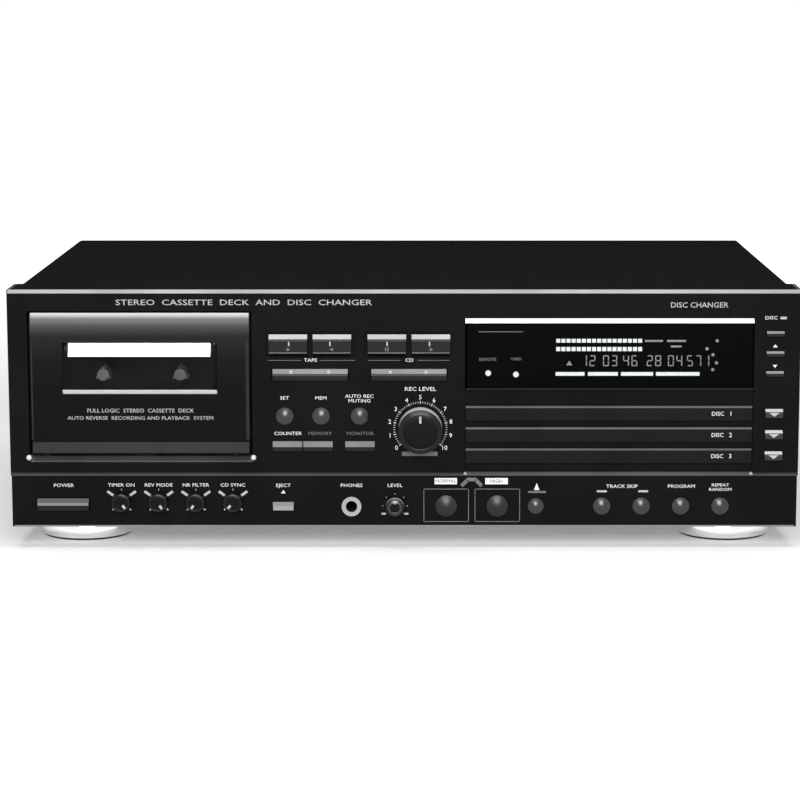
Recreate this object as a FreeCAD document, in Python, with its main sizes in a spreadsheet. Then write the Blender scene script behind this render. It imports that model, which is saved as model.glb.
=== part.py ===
import FreeCAD, Part
import math
import os
import re
import Sketcher

# A full-width hi-fi unit that joins a cassette deck on the left with a three-drawer disc player on the right.
# Millimetres. X runs to the right as seen from the front, Y to the rear and Z up.
# The origin lies on the floor under the middle of the unit's overall box.

V = FreeCAD.Vector
doc = FreeCAD.newDocument("cd_cassette_deck")

# Driving sizes. Each is set once here, and every piece takes its own from them.
SIZES = {
    # Front moulding
    "left_margin": 10.9,
    "right_margin": 9.2,
    "panel_wall": 3.0,
    "side_wall": 2.5,
    "panel_side_depth": 29.5,
    "floor_return": 8.0,
    "top_bevel": 1.9,
    "edge_round": 1.0,
    "panel_header": 12.9,
    "strip_tall": 28.7,
    "strip_set_back": 0.5,
    "ledge_tall": 2.2,
    "ledge_deep": 1.6,
    "foot_tall": 12.0,
    # Cassette, its holder and its door
    "cassette_wide": 100.4,
    "cassette_tall": 63.8,
    "cassette_thick": 12.0,
    "cassette_play": 0.6,
    "pocket_room": 3.6,
    "holder_rim": 2.0,
    "channel_wall": 2.5,
    "channel_lip": 4.0,
    "door_cheek": 7.0,
    "door_gap": 1.2,
    "sill_room": 0.4,
    "door_wall": 3.0,
    "door_rim_deep": 13.0,
    "door_crown": 12.7,
    "crown_radius": 37.0,
    "door_foot": 7.9,
    "door_head": 6.3,
    "door_sill": 10.2,
    "door_lip_tall": 6.6,
    "door_lip_proud": 0.8,
    "sill_bevel": 3.0,
    "hinge_drop": 2.4,
    "hinge_deep": 5.0,
    "hinge_pin_radius": 1.5,
    "pin_clearance": 0.05,
    "hinge_lug_thick": 4.0,
    "hub_rise": 35.0,
    "hub_spacing": 42.5,
    "hub_inset": 3.0,
    "shaft_tail": 2.0,
    "capstan_along": 28.0,
    "capstan_rise": 5.5,
    "capstan_radius": 1.2,
    "roller_radius": 4.5,
    "head_travel": 6.0,
    "window_wide": 85.0,
    "window_low": 33.4,
    "window_tall": 28.3,
    "window_proud": 2.4,
    "window_top_slope": 7.1,
    "window_side_slope": 3.4,
    "window_foot_slope": 2.4,
    "window_flange": 2.0,
    # Key block
    "block_left_gap": 7.5,
    "block_right_gap": 6.2,
    "bank_gap": 5.2,
    "bank_rim": 1.9,
    "bank_deep": 1.2,
    "bank_foot": 0.8,
    "bank_head": 1.6,
    "transport_wide": 21.1,
    "transport_tall": 10.5,
    "transport_gap": 3.0,
    "transport_rise": 71.3,
    "transport_bevel": 3.6,
    "rocker_wide": 41.2,
    "rocker_tall": 6.1,
    "rocker_rise": 54.4,
    "rocker_bevel": 3.6,
    "rocker_side_gap": 0.8,
    "rocker_pin_radius": 1.0,
    "rocker_pin_deep": 7.0,
    "round_key_size": 9.7,
    "round_key_rise": 31.2,
    "round_key_1_along": 10.3,
    "round_key_2_along": 30.3,
    "round_key_3_along": 51.5,
    "bar_key_wide": 16.2,
    "bar_key_tall": 5.2,
    "bar_key_rise": 14.6,
    "bar_key_bevel": 3.0,
    "bar_key_1_along": 11.8,
    "bar_key_2_along": 28.6,
    "bar_key_3_along": 51.7,
    "level_along": 85.0,
    "level_rise": 24.5,
    "level_radius": 12.0,
    "level_proud": 15.0,
    # Disc module
    "disc_size": 120.0,
    "disc_side_room": 12.0,
    "disc_end_room": 6.0,
    "module_side": 7.35,
    "module_deep": 1.5,
    "tray_foot": 5.2,
    "tray_face_tall": 8.0,
    "tray_pitch": 11.84,
    "tray_thick": 5.0,
    "tray_face_proud": 0.8,
    "tray_gap": 0.6,
    "blank_strip_tall": 8.8,
    "display_tall": 40.0,
    "display_top_slope": 3.4,
    "display_side_slope": 0.8,
    "display_proud": 1.6,
    "display_frame": 9.0,
    "tube_gap": 4.0,
    "tube_head": 2.0,
    "cage_wall": 2.5,
    "rail_thick": 2.0,
    "rail_wide": 3.0,
    "slide_gap": 0.3,
    "lift_gap": 6.0,
    "lift_rise": 14.0,
    "lift_tail": 18.0,
    "lift_thick": 4.0,
    "lift_post_size": 4.0,
    "spindle_radius": 1.5,
    "turntable_radius": 11.0,
    "sled_travel": 33.0,
    # Right-hand key column
    "side_gap": 6.7,
    "side_key_wide": 9.6,
    "side_key_tall": 2.8,
    "side_key_pitch": 11.05,
    "side_key_rise": 54.8,
    "open_key_tall": 4.7,
    # Lower strip
    "power_wide": 28.4,
    "power_tall": 6.6,
    "power_along": 18.0,
    "power_rise": 12.8,
    "power_travel": 3.0,
    "selector_size": 10.0,
    "selector_along": 50.2,
    "selector_pitch": 20.55,
    "selector_rise": 14.4,
    "eject_wide": 11.6,
    "eject_tall": 4.4,
    "eject_along": 9.2,
    "strip_rise": 11.7,
    "jack_along": 46.9,
    "jack_bore_radius": 3.2,
    "jack_neck": 7.0,
    "jack_nut_radius": 5.45,
    "jack_nut_thick": 2.0,
    "jack_length": 30.0,
    "phones_along": 70.9,
    "small_knob_proud": 6.0,
    "dub_size": 12.0,
    "dub_1_along": 99.2,
    "dub_pitch": 28.3,
    "dub_frame_wide": 25.1,
    "dub_frame_tall": 18.7,
    "dub_frame_deep": 0.5,
    "dub_frame_rise": 12.1,
    "single_size": 8.8,
    "single_gap": 21.3,
    "lower_size": 9.6,
    "lower_along": 75.9,
    "lower_pitch": 21.83,
    # Keys and knobs in general
    "key_clearance": 0.3,
    "key_proud": 1.6,
    "key_flange_thick": 1.2,
    "key_flange_edge": 1.2,
    "key_stem_size": 3.0,
    "key_travel": 1.2,
    "stop_gap": 0.3,
    "switch_deep": 5.0,
    "switch_size": 6.0,
    "board_deep": 14.0,
    "board_thick": 1.6,
    "boss_size": 6.0,
    "boss_shift": 2.0,
    "shaft_size": 4.0,
    "shaft_room": 3.1,
    "pot_half": 7.0,
    "shaft_clearance": 0.05,
    "pot_deep": 9.0,
    "pot_base": 1.0,
    # Casing
    "sheet_thick": 1.0,
    "cover_inset": 2.0,
    "cover_drop": 1.0,
    "cover_bend": 2.5,
    "cover_joint": 0.2,
    "pan_side_tall": 22.0,
    "rear_room": 7.0,
    "foot_radius": 24.5,
    "foot_side": 36.5,
    "foot_front": 45.0,
    "foot_rear": 40.0,
    # Rear sockets
    "socket_out": 7.0,
    "socket_along": 30.0,
    "socket_rise": 45.0,
    "socket_pitch": 14.0,
    "socket_plate_thick": 2.0,
    "socket_edge": 2.0,
    "gland_size": 14.0,
    "gland_along": 30.0,
    "gland_rise": 20.0,
    "gland_neck": 10.0,
    "gland_lip": 2.0,
    "cord_wide": 6.0,
    "cord_thick": 3.6,
    # Inside the casing
    "transformer_wide": 60.0,
    "transformer_long": 50.0,
    "transformer_tall": 48.0,
    "transformer_room": 100.0,
    "transformer_tab": 8.0,
    "main_board_wide": 96.0,
    "main_board_long": 190.0,
    "main_board_rise": 8.0,
    "main_board_gap": 4.0,
    "main_board_room": 20.0,
    # Turned pieces of the deck
    "deck_plate_thick": 3.0,
    "deck_foot_long": 28.0,
    "hub_core": 3.2,
    "spline_wide": 1.1,
    "spline_tall": 1.3,
    "spline_start": 1.5,
    "roller_long": 10.0,
    "ear_half": 2.0,
    "ear_corner": 1.4,
    "ear_waist": 1.0,
    "head_half": 6.5,
    "holder_bar": 9.0,
    "shelf_wide": 12.5,
    "crown_room": 1.5,
    "door_edge": 0.6,
    # Details of keys, knobs, drawers and lift
    "key_bevel_deep": 1.4,
    "transport_proud": 2.4,
    "side_key_bevel": 1.6,
    "open_key_bevel": 2.6,
    "power_bevel": 2.2,
    "power_proud": 2.6,
    "eject_bevel": 1.8,
    "rocker_lug": 2.5,
    "rocker_post_along": 15.0,
    "pointer_wide": 1.2,
    "pointer_long": 3.2,
    "pointer_deep": 1.0,
    "tray_bevel": 1.0,
    "disc_play": 0.6,
    "disc_well_deep": 1.6,
    "slot_half": 22.0,
    "turntable_thick": 2.5,
    "lift_half": 62.0,
    "lift_edge": 7.0,
    "motor_tall": 9.0,
    "motor_base": 1.0,
    "spindle_lift": 2.0,
    "sled_half": 13.0,
    "sled_long": 20.0,
    "sled_start": 18.0,
    "lens_size": 5.0,
    "motor_size": 18.0,
    "board_margin": 8.0,
    "display_board_deep": 9.0,
}

# Worked-out places, as formulas of the sizes above.
LAYOUT = {
    "holder_half": "cassette_wide/2 + cassette_play + channel_wall",
    "door_wide": "2*holder_half + 2*door_cheek",
    "door_tall": "door_foot + cassette_tall + door_head",
    "well_wide": "door_wide + 2*door_gap",
    "bank_wide": "2*transport_wide + transport_gap + 2*bank_rim",
    "block_wide": "2*bank_wide + bank_gap",
    "tray_plate_half": "disc_size/2 + disc_side_room",
    "module_wide": "2*tray_plate_half + 2*module_side",
    "panel_wide": "left_margin + well_wide + block_left_gap + block_wide + block_right_gap + module_wide"
                  " + side_gap + side_key_wide + right_margin",
    "panel_half": "panel_wide/2",
    "well_left": "-panel_half + left_margin",
    "well_right": "well_left + well_wide",
    "door_middle": "well_left + well_wide/2",
    "block_left": "well_right + block_left_gap",
    "module_left": "block_left + block_wide + block_right_gap",
    "module_right": "module_left + module_wide",
    "module_middle": "module_left + module_wide/2",
    "single_along": "dub_1_along + dub_pitch + single_gap",
    "side_key_x": "module_right + side_gap + side_key_wide/2",
    "panel_low": "foot_tall",
    "ledge_low": "panel_low + strip_tall",
    "ledge_top": "ledge_low + ledge_tall",
    "door_low": "ledge_top + door_sill",
    "door_top": "door_low + door_tall",
    "well_low": "door_low - door_gap - sill_room",
    "well_top": "door_top + door_gap",
    "panel_top": "door_top + panel_header",
    "hinge_z": "door_low - hinge_drop",
    "cassette_low": "door_low + door_foot",
    "hub_z": "cassette_low + hub_rise",
    "capstan_z": "cassette_low + capstan_rise",
    "pocket_front": "door_wall + channel_wall",
    "pocket_back": "pocket_front + cassette_thick + 2*cassette_play",
    "plate_front": "pocket_back + pocket_room",
    "holder_low": "cassette_low - holder_rim",
    "holder_top": "cassette_low + cassette_tall + holder_rim",
    "window_z": "door_low + window_low",
    "bank_left_1": "block_left",
    "bank_left_2": "block_left + bank_wide + bank_gap",
    "transport_z": "ledge_top + transport_rise",
    "bank_low": "transport_z - transport_tall/2 - bank_foot",
    "bank_top": "transport_z + transport_tall/2 + bank_head",
    "rocker_z": "ledge_top + rocker_rise",
    "level_x": "block_left + level_along",
    "level_z": "ledge_top + level_rise",
    "tray_3_z": "ledge_top + tray_foot + tray_face_tall/2",
    "tray_top": "tray_3_z + 2*tray_pitch + tray_face_tall/2",
    "display_low": "tray_top + blank_strip_tall",
    "module_top": "display_low + display_tall",
    "strip_z": "panel_low + strip_rise",
    "tray_long": "disc_size + 2*disc_end_room",
    "disc_y": "panel_wall + disc_end_room + disc_size/2",
    "lift_front": "panel_wall + tray_long + lift_gap",
    "spindle_y": "lift_front + disc_size/2",
    "lift_back": "spindle_y + disc_size/2 + lift_tail",
    "unit_deep": "lift_back + rear_room",
    "cage_half": "tray_plate_half + slide_gap + cage_wall",
    "pan_top": "panel_low + sheet_thick",
    "pan_half": "cover_half - sheet_thick - slide_gap",
    "cover_half": "panel_half - cover_inset",
    "cover_top": "panel_top - cover_drop",
    "cover_front": "panel_side_depth + cover_joint",
    "rear_face": "unit_deep - sheet_thick",
    "stem_end": "board_deep - switch_deep - key_travel - stop_gap",
    "flange_front": "panel_wall + stop_gap",
    "lift_travel": "2*tray_pitch",
    "lift_low": "pan_top + lift_rise",
    "hub_tip": "pocket_front + hub_inset",
    "shaft_end": "plate_front + deck_plate_thick + shaft_tail",
    "roller_z": "capstan_z - capstan_radius - roller_radius - stop_gap - head_travel",
    "sled_front": "spindle_y + sled_start",
    "main_board_left": "block_left + main_board_gap",
    "main_board_front": "plate_front + deck_foot_long + main_board_room",
    "socket_x": "block_left + socket_along",
    "socket_z": "panel_low + socket_rise",
    "gland_x": "-panel_half + gland_along",
    "gland_z": "panel_low + gland_rise",
    "transformer_front": "unit_deep - transformer_room",
    "face_y": "level_proud - (level_proud + unit_deep + socket_out)/2",
}


def fill_sheet(name, cells, prefix):
    """A spreadsheet with one alias per row: its name in column A and its number or formula in column B."""
    sheet = doc.addObject("Spreadsheet::Sheet", name)
    for row, (alias, content) in enumerate(cells.items(), 1):
        sheet.set(f"A{row}", alias)
        sheet.setAlias(f"B{row}", alias)
        sheet.set(f"B{row}", prefix + str(content))
    return sheet


def tied(formula):
    """The formula with every alias pointed at the sheet that holds it."""
    def with_sheet(found):
        word = found.group()
        if word in SIZES:
            return "Sizes." + word
        return "Layout." + word if word in LAYOUT else word
    return re.sub(r"[a-z][a-z_0-9]*", with_sheet, str(formula))


def number(formula):
    """What a formula comes to with the sizes as they stand."""
    return float(sizes.evalExpression(tied(formula)))


sizes = fill_sheet("Sizes", SIZES, "")
doc.recompute()
layout = fill_sheet("Layout", {name: tied(text) for name, text in LAYOUT.items()}, "=")
doc.recompute()

nodes = []


def new_body(label, across="0", up="0"):
    """An empty body that stands at the panel's front face, moved across and up."""
    body = doc.addObject("PartDesign::Body", label)
    body.Label = label
    body.setExpression("Placement.Base.x", tied(across))
    body.setExpression("Placement.Base.y", tied("face_y"))
    body.setExpression("Placement.Base.z", tied(up))
    nodes.append(body)
    return body


def new_sketch(body, name, role, offset):
    """An empty sketch on one of the body's own planes, moved along that plane's normal."""
    sketch = body.newObject("Sketcher::SketchObject", name)
    plane = next(item for item in body.Origin.OriginFeatures if item.Role == role)
    sketch.AttachmentSupport = [(plane, "")]
    sketch.MapMode = "FlatFace"
    sketch.setExpression("AttachmentOffset.Base.z", tied(offset))
    return sketch


def front_sketch(body, name, depth="0"):
    """A sketch that faces the front, at a depth behind the panel's face."""
    return new_sketch(body, name, "XZ_Plane", f"-({depth})")


def side_sketch(body, name, across="0"):
    """A sketch seen from the side, whose first axis runs to the rear and second axis up."""
    return new_sketch(body, name, "YZ_Plane", across)


def top_sketch(body, name, height="0"):
    """A sketch seen from above, at a height over the body's own floor."""
    return new_sketch(body, name, "XY_Plane", height)


def pin_point(sketch, line, end, across, up):
    """Hold one end of a line, or a circle's middle, at two formulas."""
    for kind, formula in (("DistanceX", across), ("DistanceY", up)):
        index = sketch.addConstraint(Sketcher.Constraint(kind, -1, 1, line, end, number(formula)))
        sketch.setExpression(f"Constraints[{index}]", tied(formula))


def outline(sketch, points):
    """A closed run of straight lines through the given corners."""
    first = sketch.GeometryCount
    count = len(points)
    corners = [V(number(across), number(up), 0) for across, up in points]
    for index in range(count):
        sketch.addGeometry(Part.LineSegment(corners[index], corners[(index + 1) % count]), False)
    for index, (across, up) in enumerate(points):
        following = first + (index + 1) % count
        sketch.addConstraint(Sketcher.Constraint("Coincident", first + index, 2, following, 1))
        pin_point(sketch, first + index, 1, across, up)


def rectangle(sketch, left, right, low, high):
    """A closed rectangle between two places across and two places up."""
    outline(sketch, [(left, low), (right, low), (right, high), (left, high)])


def centred(sketch, across, up, wide, tall):
    """A rectangle about a middle point."""
    rectangle(sketch, f"{across} - ({wide})/2", f"{across} + ({wide})/2", f"{up} - ({tall})/2",
              f"{up} + ({tall})/2")


def circle(sketch, across, up, radius):
    """A circle about a middle point."""
    line = sketch.addGeometry(Part.Circle(V(number(across), number(up), 0), V(0, 0, 1), number(radius)),
                              False)
    index = sketch.addConstraint(Sketcher.Constraint("Radius", line, number(radius)))
    sketch.setExpression(f"Constraints[{index}]", tied(radius))
    pin_point(sketch, line, 3, across, up)


def bowed_corner(sketch, low, high, radius):
    """What an arc that stands upright at its foot leaves off a front edge between two heights."""
    back = f"{radius} - sqrt({radius}^2 - ({high} - {low})^2)"
    corners = [("0", low), ("-1", low), ("-1", high), (back, high)]
    points = [V(number(across), number(up), 0) for across, up in corners]
    for start, end in zip(points, points[1:]):
        sketch.addGeometry(Part.LineSegment(start, end), False)
    rim = Part.Circle(V(number(radius), number(low), 0), V(0, 0, 1), number(radius))
    turn = math.asin((number(high) - number(low)) / number(radius))
    arc = sketch.addGeometry(Part.ArcOfCircle(rim, math.pi - turn, math.pi), False)
    for line, following in ((0, 1), (1, 2), (2, arc), (arc, 0)):
        sketch.addConstraint(Sketcher.Constraint("Coincident", line, 2, following, 1))
    for line, (across, up) in zip((0, 1, 2, arc), corners):
        pin_point(sketch, line, 1, across, up)
    index = sketch.addConstraint(Sketcher.Constraint("Radius", arc, number(radius)))
    sketch.setExpression(f"Constraints[{index}]", tied(radius))


def settle(body, feature, grows):
    """Make the feature the body's last, and see that it added or removed material as it should."""
    solids = [item for item in body.Group if item.isDerivedFrom("PartDesign::Feature") and item is not feature]
    before = solids[-1].Shape.Volume if solids else 0.0
    body.Tip = feature
    doc.recompute()
    change = feature.Shape.Volume - before
    if feature.Shape.isNull() or (change if grows else -change) < 1e-4:
        raise RuntimeError(f"{body.Label}: {feature.Name} changes the volume by {change:.4f}")
    return feature


def pad(body, sketch, length, reverse=False, symmetric=False):
    """Add the sketch's area, along its normal or against it."""
    feature = body.newObject("PartDesign::Pad", sketch.Name + "_pad")
    feature.Profile = sketch
    feature.Reversed = reverse
    if symmetric:
        feature.SideType = "Symmetric"
    feature.setExpression("Length", tied(length))
    return settle(body, feature, True)


def pocket(body, sketch, length, reverse=False, symmetric=False):
    """Cut the sketch's area, against its normal or along it."""
    feature = body.newObject("PartDesign::Pocket", sketch.Name + "_cut")
    feature.Profile = sketch
    feature.Reversed = reverse
    if symmetric:
        feature.SideType = "Symmetric"
    feature.setExpression("Length", tied(length))
    return settle(body, feature, False)


def revolve(body, sketch, axis="H_Axis"):
    """Turn the sketch about one of its own axes."""
    feature = body.newObject("PartDesign::Revolution", sketch.Name + "_turned")
    feature.Profile = sketch
    feature.ReferenceAxis = (sketch, [axis])
    feature.Angle = 360
    return settle(body, feature, True)


def repeat(body, feature, sketch, pitch, count, axis="H_Axis", grows=False):
    """Copies of a feature at an even pitch along one axis of its sketch."""
    pattern = body.newObject("PartDesign::LinearPattern", feature.Name + "_row")
    pattern.Originals = [feature]
    pattern.Direction = (sketch, [axis])
    pattern.setExpression("Length", tied(f"({pitch})*{count - 1}"))
    pattern.Occurrences = count
    return settle(body, pattern, grows)


def edges_of(feature, wanted):
    """Names of the feature's edges whose boxes pass a test."""
    return [f"Edge{index}" for index, edge in enumerate(feature.Shape.Edges, 1) if wanted(edge.BoundBox)]


def soften(body, kind, feature, names, amount):
    """A fillet or chamfer on the named edges."""
    work = body.newObject("PartDesign::" + kind, f"{feature.Name}_{kind.lower()}")
    work.Base = (feature, names)
    work.setExpression("Radius" if kind == "Fillet" else "Size", tied(amount))
    body.Tip = work
    doc.recompute()
    return work


def near(value, formula):
    return abs(value - number(formula)) < 0.01


def make_front_panel():
    """The moulded front: a hollow-backed slab with recesses, windows, tray slots, key holes and bosses."""
    body = new_body("front_panel")
    slab = front_sketch(body, "panel_slab")
    rectangle(slab, "-panel_half", "panel_half", "panel_low", "panel_top")
    shell = pad(body, slab, "panel_side_depth", reverse=True)

    def front_edge(box):
        return near(box.YMin, "0") and near(box.YMax, "0")
    top = edges_of(shell, lambda box: front_edge(box) and near(box.ZMin, "panel_top"))
    shell = soften(body, "Chamfer", shell, top, "top_bevel")
    sides = edges_of(shell, lambda box: front_edge(box) and near(box.ZMin, "panel_low"))
    soften(body, "Fillet", shell, sides, "edge_round")

    hollow = front_sketch(body, "panel_hollow", "panel_side_depth")
    rectangle(hollow, "-panel_half + side_wall", "panel_half - side_wall",
              "panel_low + side_wall", "panel_top - side_wall")
    pocket(body, hollow, "panel_side_depth - panel_wall", reverse=True)
    floor = front_sketch(body, "floor_opening", "panel_side_depth")
    rectangle(floor, "-panel_half + side_wall", "panel_half - side_wall", "panel_low - 1",
              "panel_low + side_wall + 1")
    pocket(body, floor, "panel_side_depth - floor_return", reverse=True)

    # The lower strip stands back all round, under a ledge that slopes out from a groove.
    strip = front_sketch(body, "strip_sides")
    for side in ("-", ""):
        rectangle(strip, f"{side}(panel_half - strip_set_back)", f"{side}(panel_half + 1)", "panel_low - 1",
                  "ledge_low")
    pocket(body, strip, "panel_side_depth")
    strip_face = front_sketch(body, "strip_face", "-1")
    rectangle(strip_face, "-panel_half - 1", "panel_half + 1", "panel_low - 1", "ledge_low")
    pocket(body, strip_face, "1 + strip_set_back")
    ledge = side_sketch(body, "ledge_groove")
    outline(ledge, [("strip_set_back", "ledge_low"), ("strip_set_back + ledge_deep", "ledge_top"),
                    ("-1", "ledge_top"), ("-1", "ledge_low")])
    pocket(body, ledge, "2*panel_half + 2", symmetric=True)

    # The cassette door's well goes right through, over a sill that slopes outwards.
    well = side_sketch(body, "door_well", "well_left")
    outline(well, [("-1", "well_low - sill_bevel"), ("0", "well_low - sill_bevel"),
                   ("panel_wall", "well_low"),
                   ("panel_wall + 1", "well_low"), ("panel_wall + 1", "well_top"), ("-1", "well_top")])
    pocket(body, well, "well_wide", reverse=True)

    # Two shallow banks for the transport keys, each with a sloping lower edge.
    bank = side_sketch(body, "key_bank", "bank_left_1")
    outline(bank, [("-1", "bank_low - bank_deep"), ("0", "bank_low - bank_deep"), ("bank_deep", "bank_low"),
                   ("bank_deep", "bank_top"), ("-1", "bank_top")])
    first_bank = pocket(body, bank, "bank_wide", reverse=True)
    repeat(body, first_bank, bank, "bank_wide + bank_gap", 2, axis="N_Axis")

    module = front_sketch(body, "module_recess")
    rectangle(module, "module_left", "module_right", "ledge_top", "module_top")
    pocket(body, module, "module_deep")
    display = front_sketch(body, "display_opening")
    rectangle(display, "module_left + display_frame", "module_right - display_frame",
              "display_low + display_frame/2", "module_top - display_frame")
    pocket(body, display, "panel_wall + 1")
    slot = front_sketch(body, "tray_slot")
    centred(slot, "module_middle", "tray_3_z", "2*tray_plate_half + 2*tray_gap", "tray_thick + 2*tray_gap")
    lowest = pocket(body, slot, "panel_wall + 1")
    repeat(body, lowest, slot, "tray_pitch", 3, axis="V_Axis")

    frames = front_sketch(body, "dub_frames")
    centred(frames, "block_left + dub_1_along", "panel_low + dub_frame_rise", "dub_frame_wide",
            "dub_frame_tall")
    first_frame = pocket(body, frames, "strip_set_back + dub_frame_deep")
    repeat(body, first_frame, frames, "dub_pitch", 2)

    for name, across, up, wide, tall, *rest in BAR_KEYS:
        if name != "bar_key_2":
            hole = front_sketch(body, name + "_hole")
            side_gap = "rocker_side_gap" if name.startswith("skip") else "key_clearance"
            shared = "bar_key_2_along - bar_key_1_along" if name == "bar_key_1" else "0"
            rectangle(hole, f"{across} - ({wide})/2 - {side_gap}",
                      f"{across} + {shared} + ({wide})/2 + {side_gap}",
                      f"{up} - ({tall})/2 - key_clearance", f"{up} + ({tall})/2 + key_clearance")
            pocket(body, hole, "panel_wall + 1")
    holes = front_sketch(body, "round_holes")
    for name, across, up, size, travel in ROUND_KEYS:
        circle(holes, across, up, f"{size}/2 + key_clearance")
    for name, across, up, size, proud in KNOBS:
        centred(holes, across, up, "2*shaft_room", "2*shaft_room")
    centred(holes, "block_left + jack_along", "strip_z", "jack_neck + 2*key_clearance",
            "jack_neck + 2*key_clearance")
    pocket(body, holes, "panel_wall + 1")

    bosses = front_sketch(body, "board_bosses", "panel_wall")
    for across, up in BOSSES:
        centred(bosses, across, up, "boss_size", "boss_size")
    pad(body, bosses, "board_deep - panel_wall", reverse=True)
    display_bosses = front_sketch(body, "display_bosses", "panel_wall")
    for across in ("module_left + display_frame/2", "module_right - display_frame/2"):
        centred(display_bosses, across, "display_low + display_tall/2", "boss_size", "boss_size")
    pad(body, display_bosses, "display_board_deep - panel_wall", reverse=True)

    # Each rocker turns on an upright pin between two lugs behind the wall.
    lugs = front_sketch(body, "rocker_lugs", "panel_wall")
    for bank_left in ("bank_left_1", "bank_left_2"):
        for side in ("-", "+"):
            rectangle(lugs, f"{bank_left} + bank_wide/2 - rocker_lug",
                      f"{bank_left} + bank_wide/2 + rocker_lug",
                      f"rocker_z {side} (rocker_tall/2 + key_clearance + slide_gap)",
                      f"rocker_z {side} (rocker_tall/2 + key_clearance + slide_gap + rocker_lug)")
    pad(body, lugs, "rocker_pin_deep + rocker_lug - panel_wall", reverse=True)
    pins = top_sketch(body, "rocker_pin_holes",
                      "rocker_z + rocker_tall/2 + key_clearance + slide_gap + rocker_lug + 1")
    for bank_left in ("bank_left_1", "bank_left_2"):
        centred(pins, f"{bank_left} + bank_wide/2", "rocker_pin_deep",
                "2*(rocker_pin_radius + pin_clearance)", "2*(rocker_pin_radius + pin_clearance)")
    pocket(body, pins, "rocker_tall + 2*(key_clearance + slide_gap + rocker_lug + 1)")


def make_bar_key(name, across, up, wide, tall, bevel, front, travel):
    """A push key with a sloping top edge, a flange behind the wall and a stem that reaches for its switch."""
    body = new_body(name, across, up)
    cap = side_sketch(body, name + "_cap")
    outline(cap, [(front, f"-({tall})/2"), (front, f"({tall})/2 - {bevel}"),
                  (f"{front} + key_bevel_deep", f"({tall})/2"),
                  ("flange_front", f"({tall})/2"), ("flange_front", f"-({tall})/2")])
    pad(body, cap, wide, symmetric=True)
    flange = front_sketch(body, name + "_flange", "flange_front")
    centred(flange, "0", "0", wide, f"{tall} + 2*key_flange_edge")
    pad(body, flange, "key_flange_thick", reverse=True)
    stem = front_sketch(body, name + "_stem", "flange_front + key_flange_thick")
    centred(stem, "0", "0", "key_stem_size", "key_stem_size")
    pad(body, stem, f"board_deep - switch_deep - {travel} - stop_gap - flange_front - key_flange_thick",
        reverse=True)


def make_rocker(name, across, up, wide, tall, bevel, front, travel):
    """A long key that rocks about an upright pin, with a post near each end for its two switches."""
    body = new_body(name, across, up)
    cap = side_sketch(body, name + "_cap")
    outline(cap, [(front, f"-({tall})/2"), (front, f"({tall})/2 - {bevel}"),
                  (f"{front} + key_bevel_deep", f"({tall})/2"),
                  ("panel_wall + 1", f"({tall})/2"), ("panel_wall + 1", f"-({tall})/2")])
    pad(body, cap, wide, symmetric=True)
    stem = front_sketch(body, name + "_stem", "panel_wall + 1")
    centred(stem, "0", "0", "2*rocker_lug", tall)
    pad(body, stem, "rocker_pin_deep + rocker_lug - panel_wall - 1", reverse=True)
    posts = front_sketch(body, name + "_posts", "panel_wall + 1")
    for side in ("-", ""):
        centred(posts, f"{side}rocker_post_along", "0", "key_stem_size", "key_stem_size")
    pad(body, posts, "stem_end - panel_wall - 1", reverse=True)
    pin = top_sketch(body, name + "_pin")
    circle(pin, "0", "rocker_pin_deep", "rocker_pin_radius")
    pad(body, pin, "rocker_tall/2 + key_clearance + slide_gap + rocker_lug")
    heel = top_sketch(body, name + "_heel")
    centred(heel, "0", "rocker_pin_deep", "rocker_pin_radius", "rocker_pin_radius")
    pad(body, heel, "rocker_tall/2 + key_clearance + slide_gap + rocker_lug", reverse=True)


def make_round_key(name, across, up, size, travel):
    """A round push key with a square flange behind the wall and a stem that reaches for its switch."""
    body = new_body(name, across, up)
    cap = front_sketch(body, name + "_cap", "-key_proud")
    circle(cap, "0", "0", f"{size}/2")
    pad(body, cap, "key_proud + flange_front", reverse=True)
    flange = front_sketch(body, name + "_flange", "flange_front")
    centred(flange, "0", "0", f"{size} + 2*key_flange_edge", f"{size} + 2*key_flange_edge")
    pad(body, flange, "key_flange_thick", reverse=True)
    stem = front_sketch(body, name + "_stem", "flange_front + key_flange_thick")
    centred(stem, "0", "0", "key_stem_size", "key_stem_size")
    pad(body, stem, f"board_deep - switch_deep - {travel} - stop_gap - flange_front - key_flange_thick",
        reverse=True)


def make_knob(name, across, up, size, proud):
    """A round knob with a pointer notch, and the shaft that it turns in its control."""
    body = new_body(name, across, up)
    cap = front_sketch(body, name + "_cap", f"-{proud}")
    circle(cap, "0", "0", f"{size}/2")
    pad(body, cap, f"{proud} - slide_gap", reverse=True)
    shaft = front_sketch(body, name + "_shaft", "-slide_gap")
    centred(shaft, "0", "0", "shaft_size", "shaft_size")
    pad(body, shaft, "panel_wall + pot_deep - pot_base", reverse=True)
    notch = front_sketch(body, name + "_notch", f"-{proud}")
    rectangle(notch, "-pointer_wide/2", "pointer_wide/2", f"{size}/2 - pointer_long", f"{size}/2 + 1")
    pocket(body, notch, "pointer_deep")


def make_display_window():
    """The smoked pane over the display, which fills the upper part of the module's recess."""
    body = new_body("display_window", "module_middle", "display_low + display_tall/2")
    raised_pane(body, "module_wide - 2*slide_gap", "display_tall - 2*slide_gap", "display_proud",
                "module_deep",
                "display_side_slope", "display_side_slope", "display_top_slope")


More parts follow.
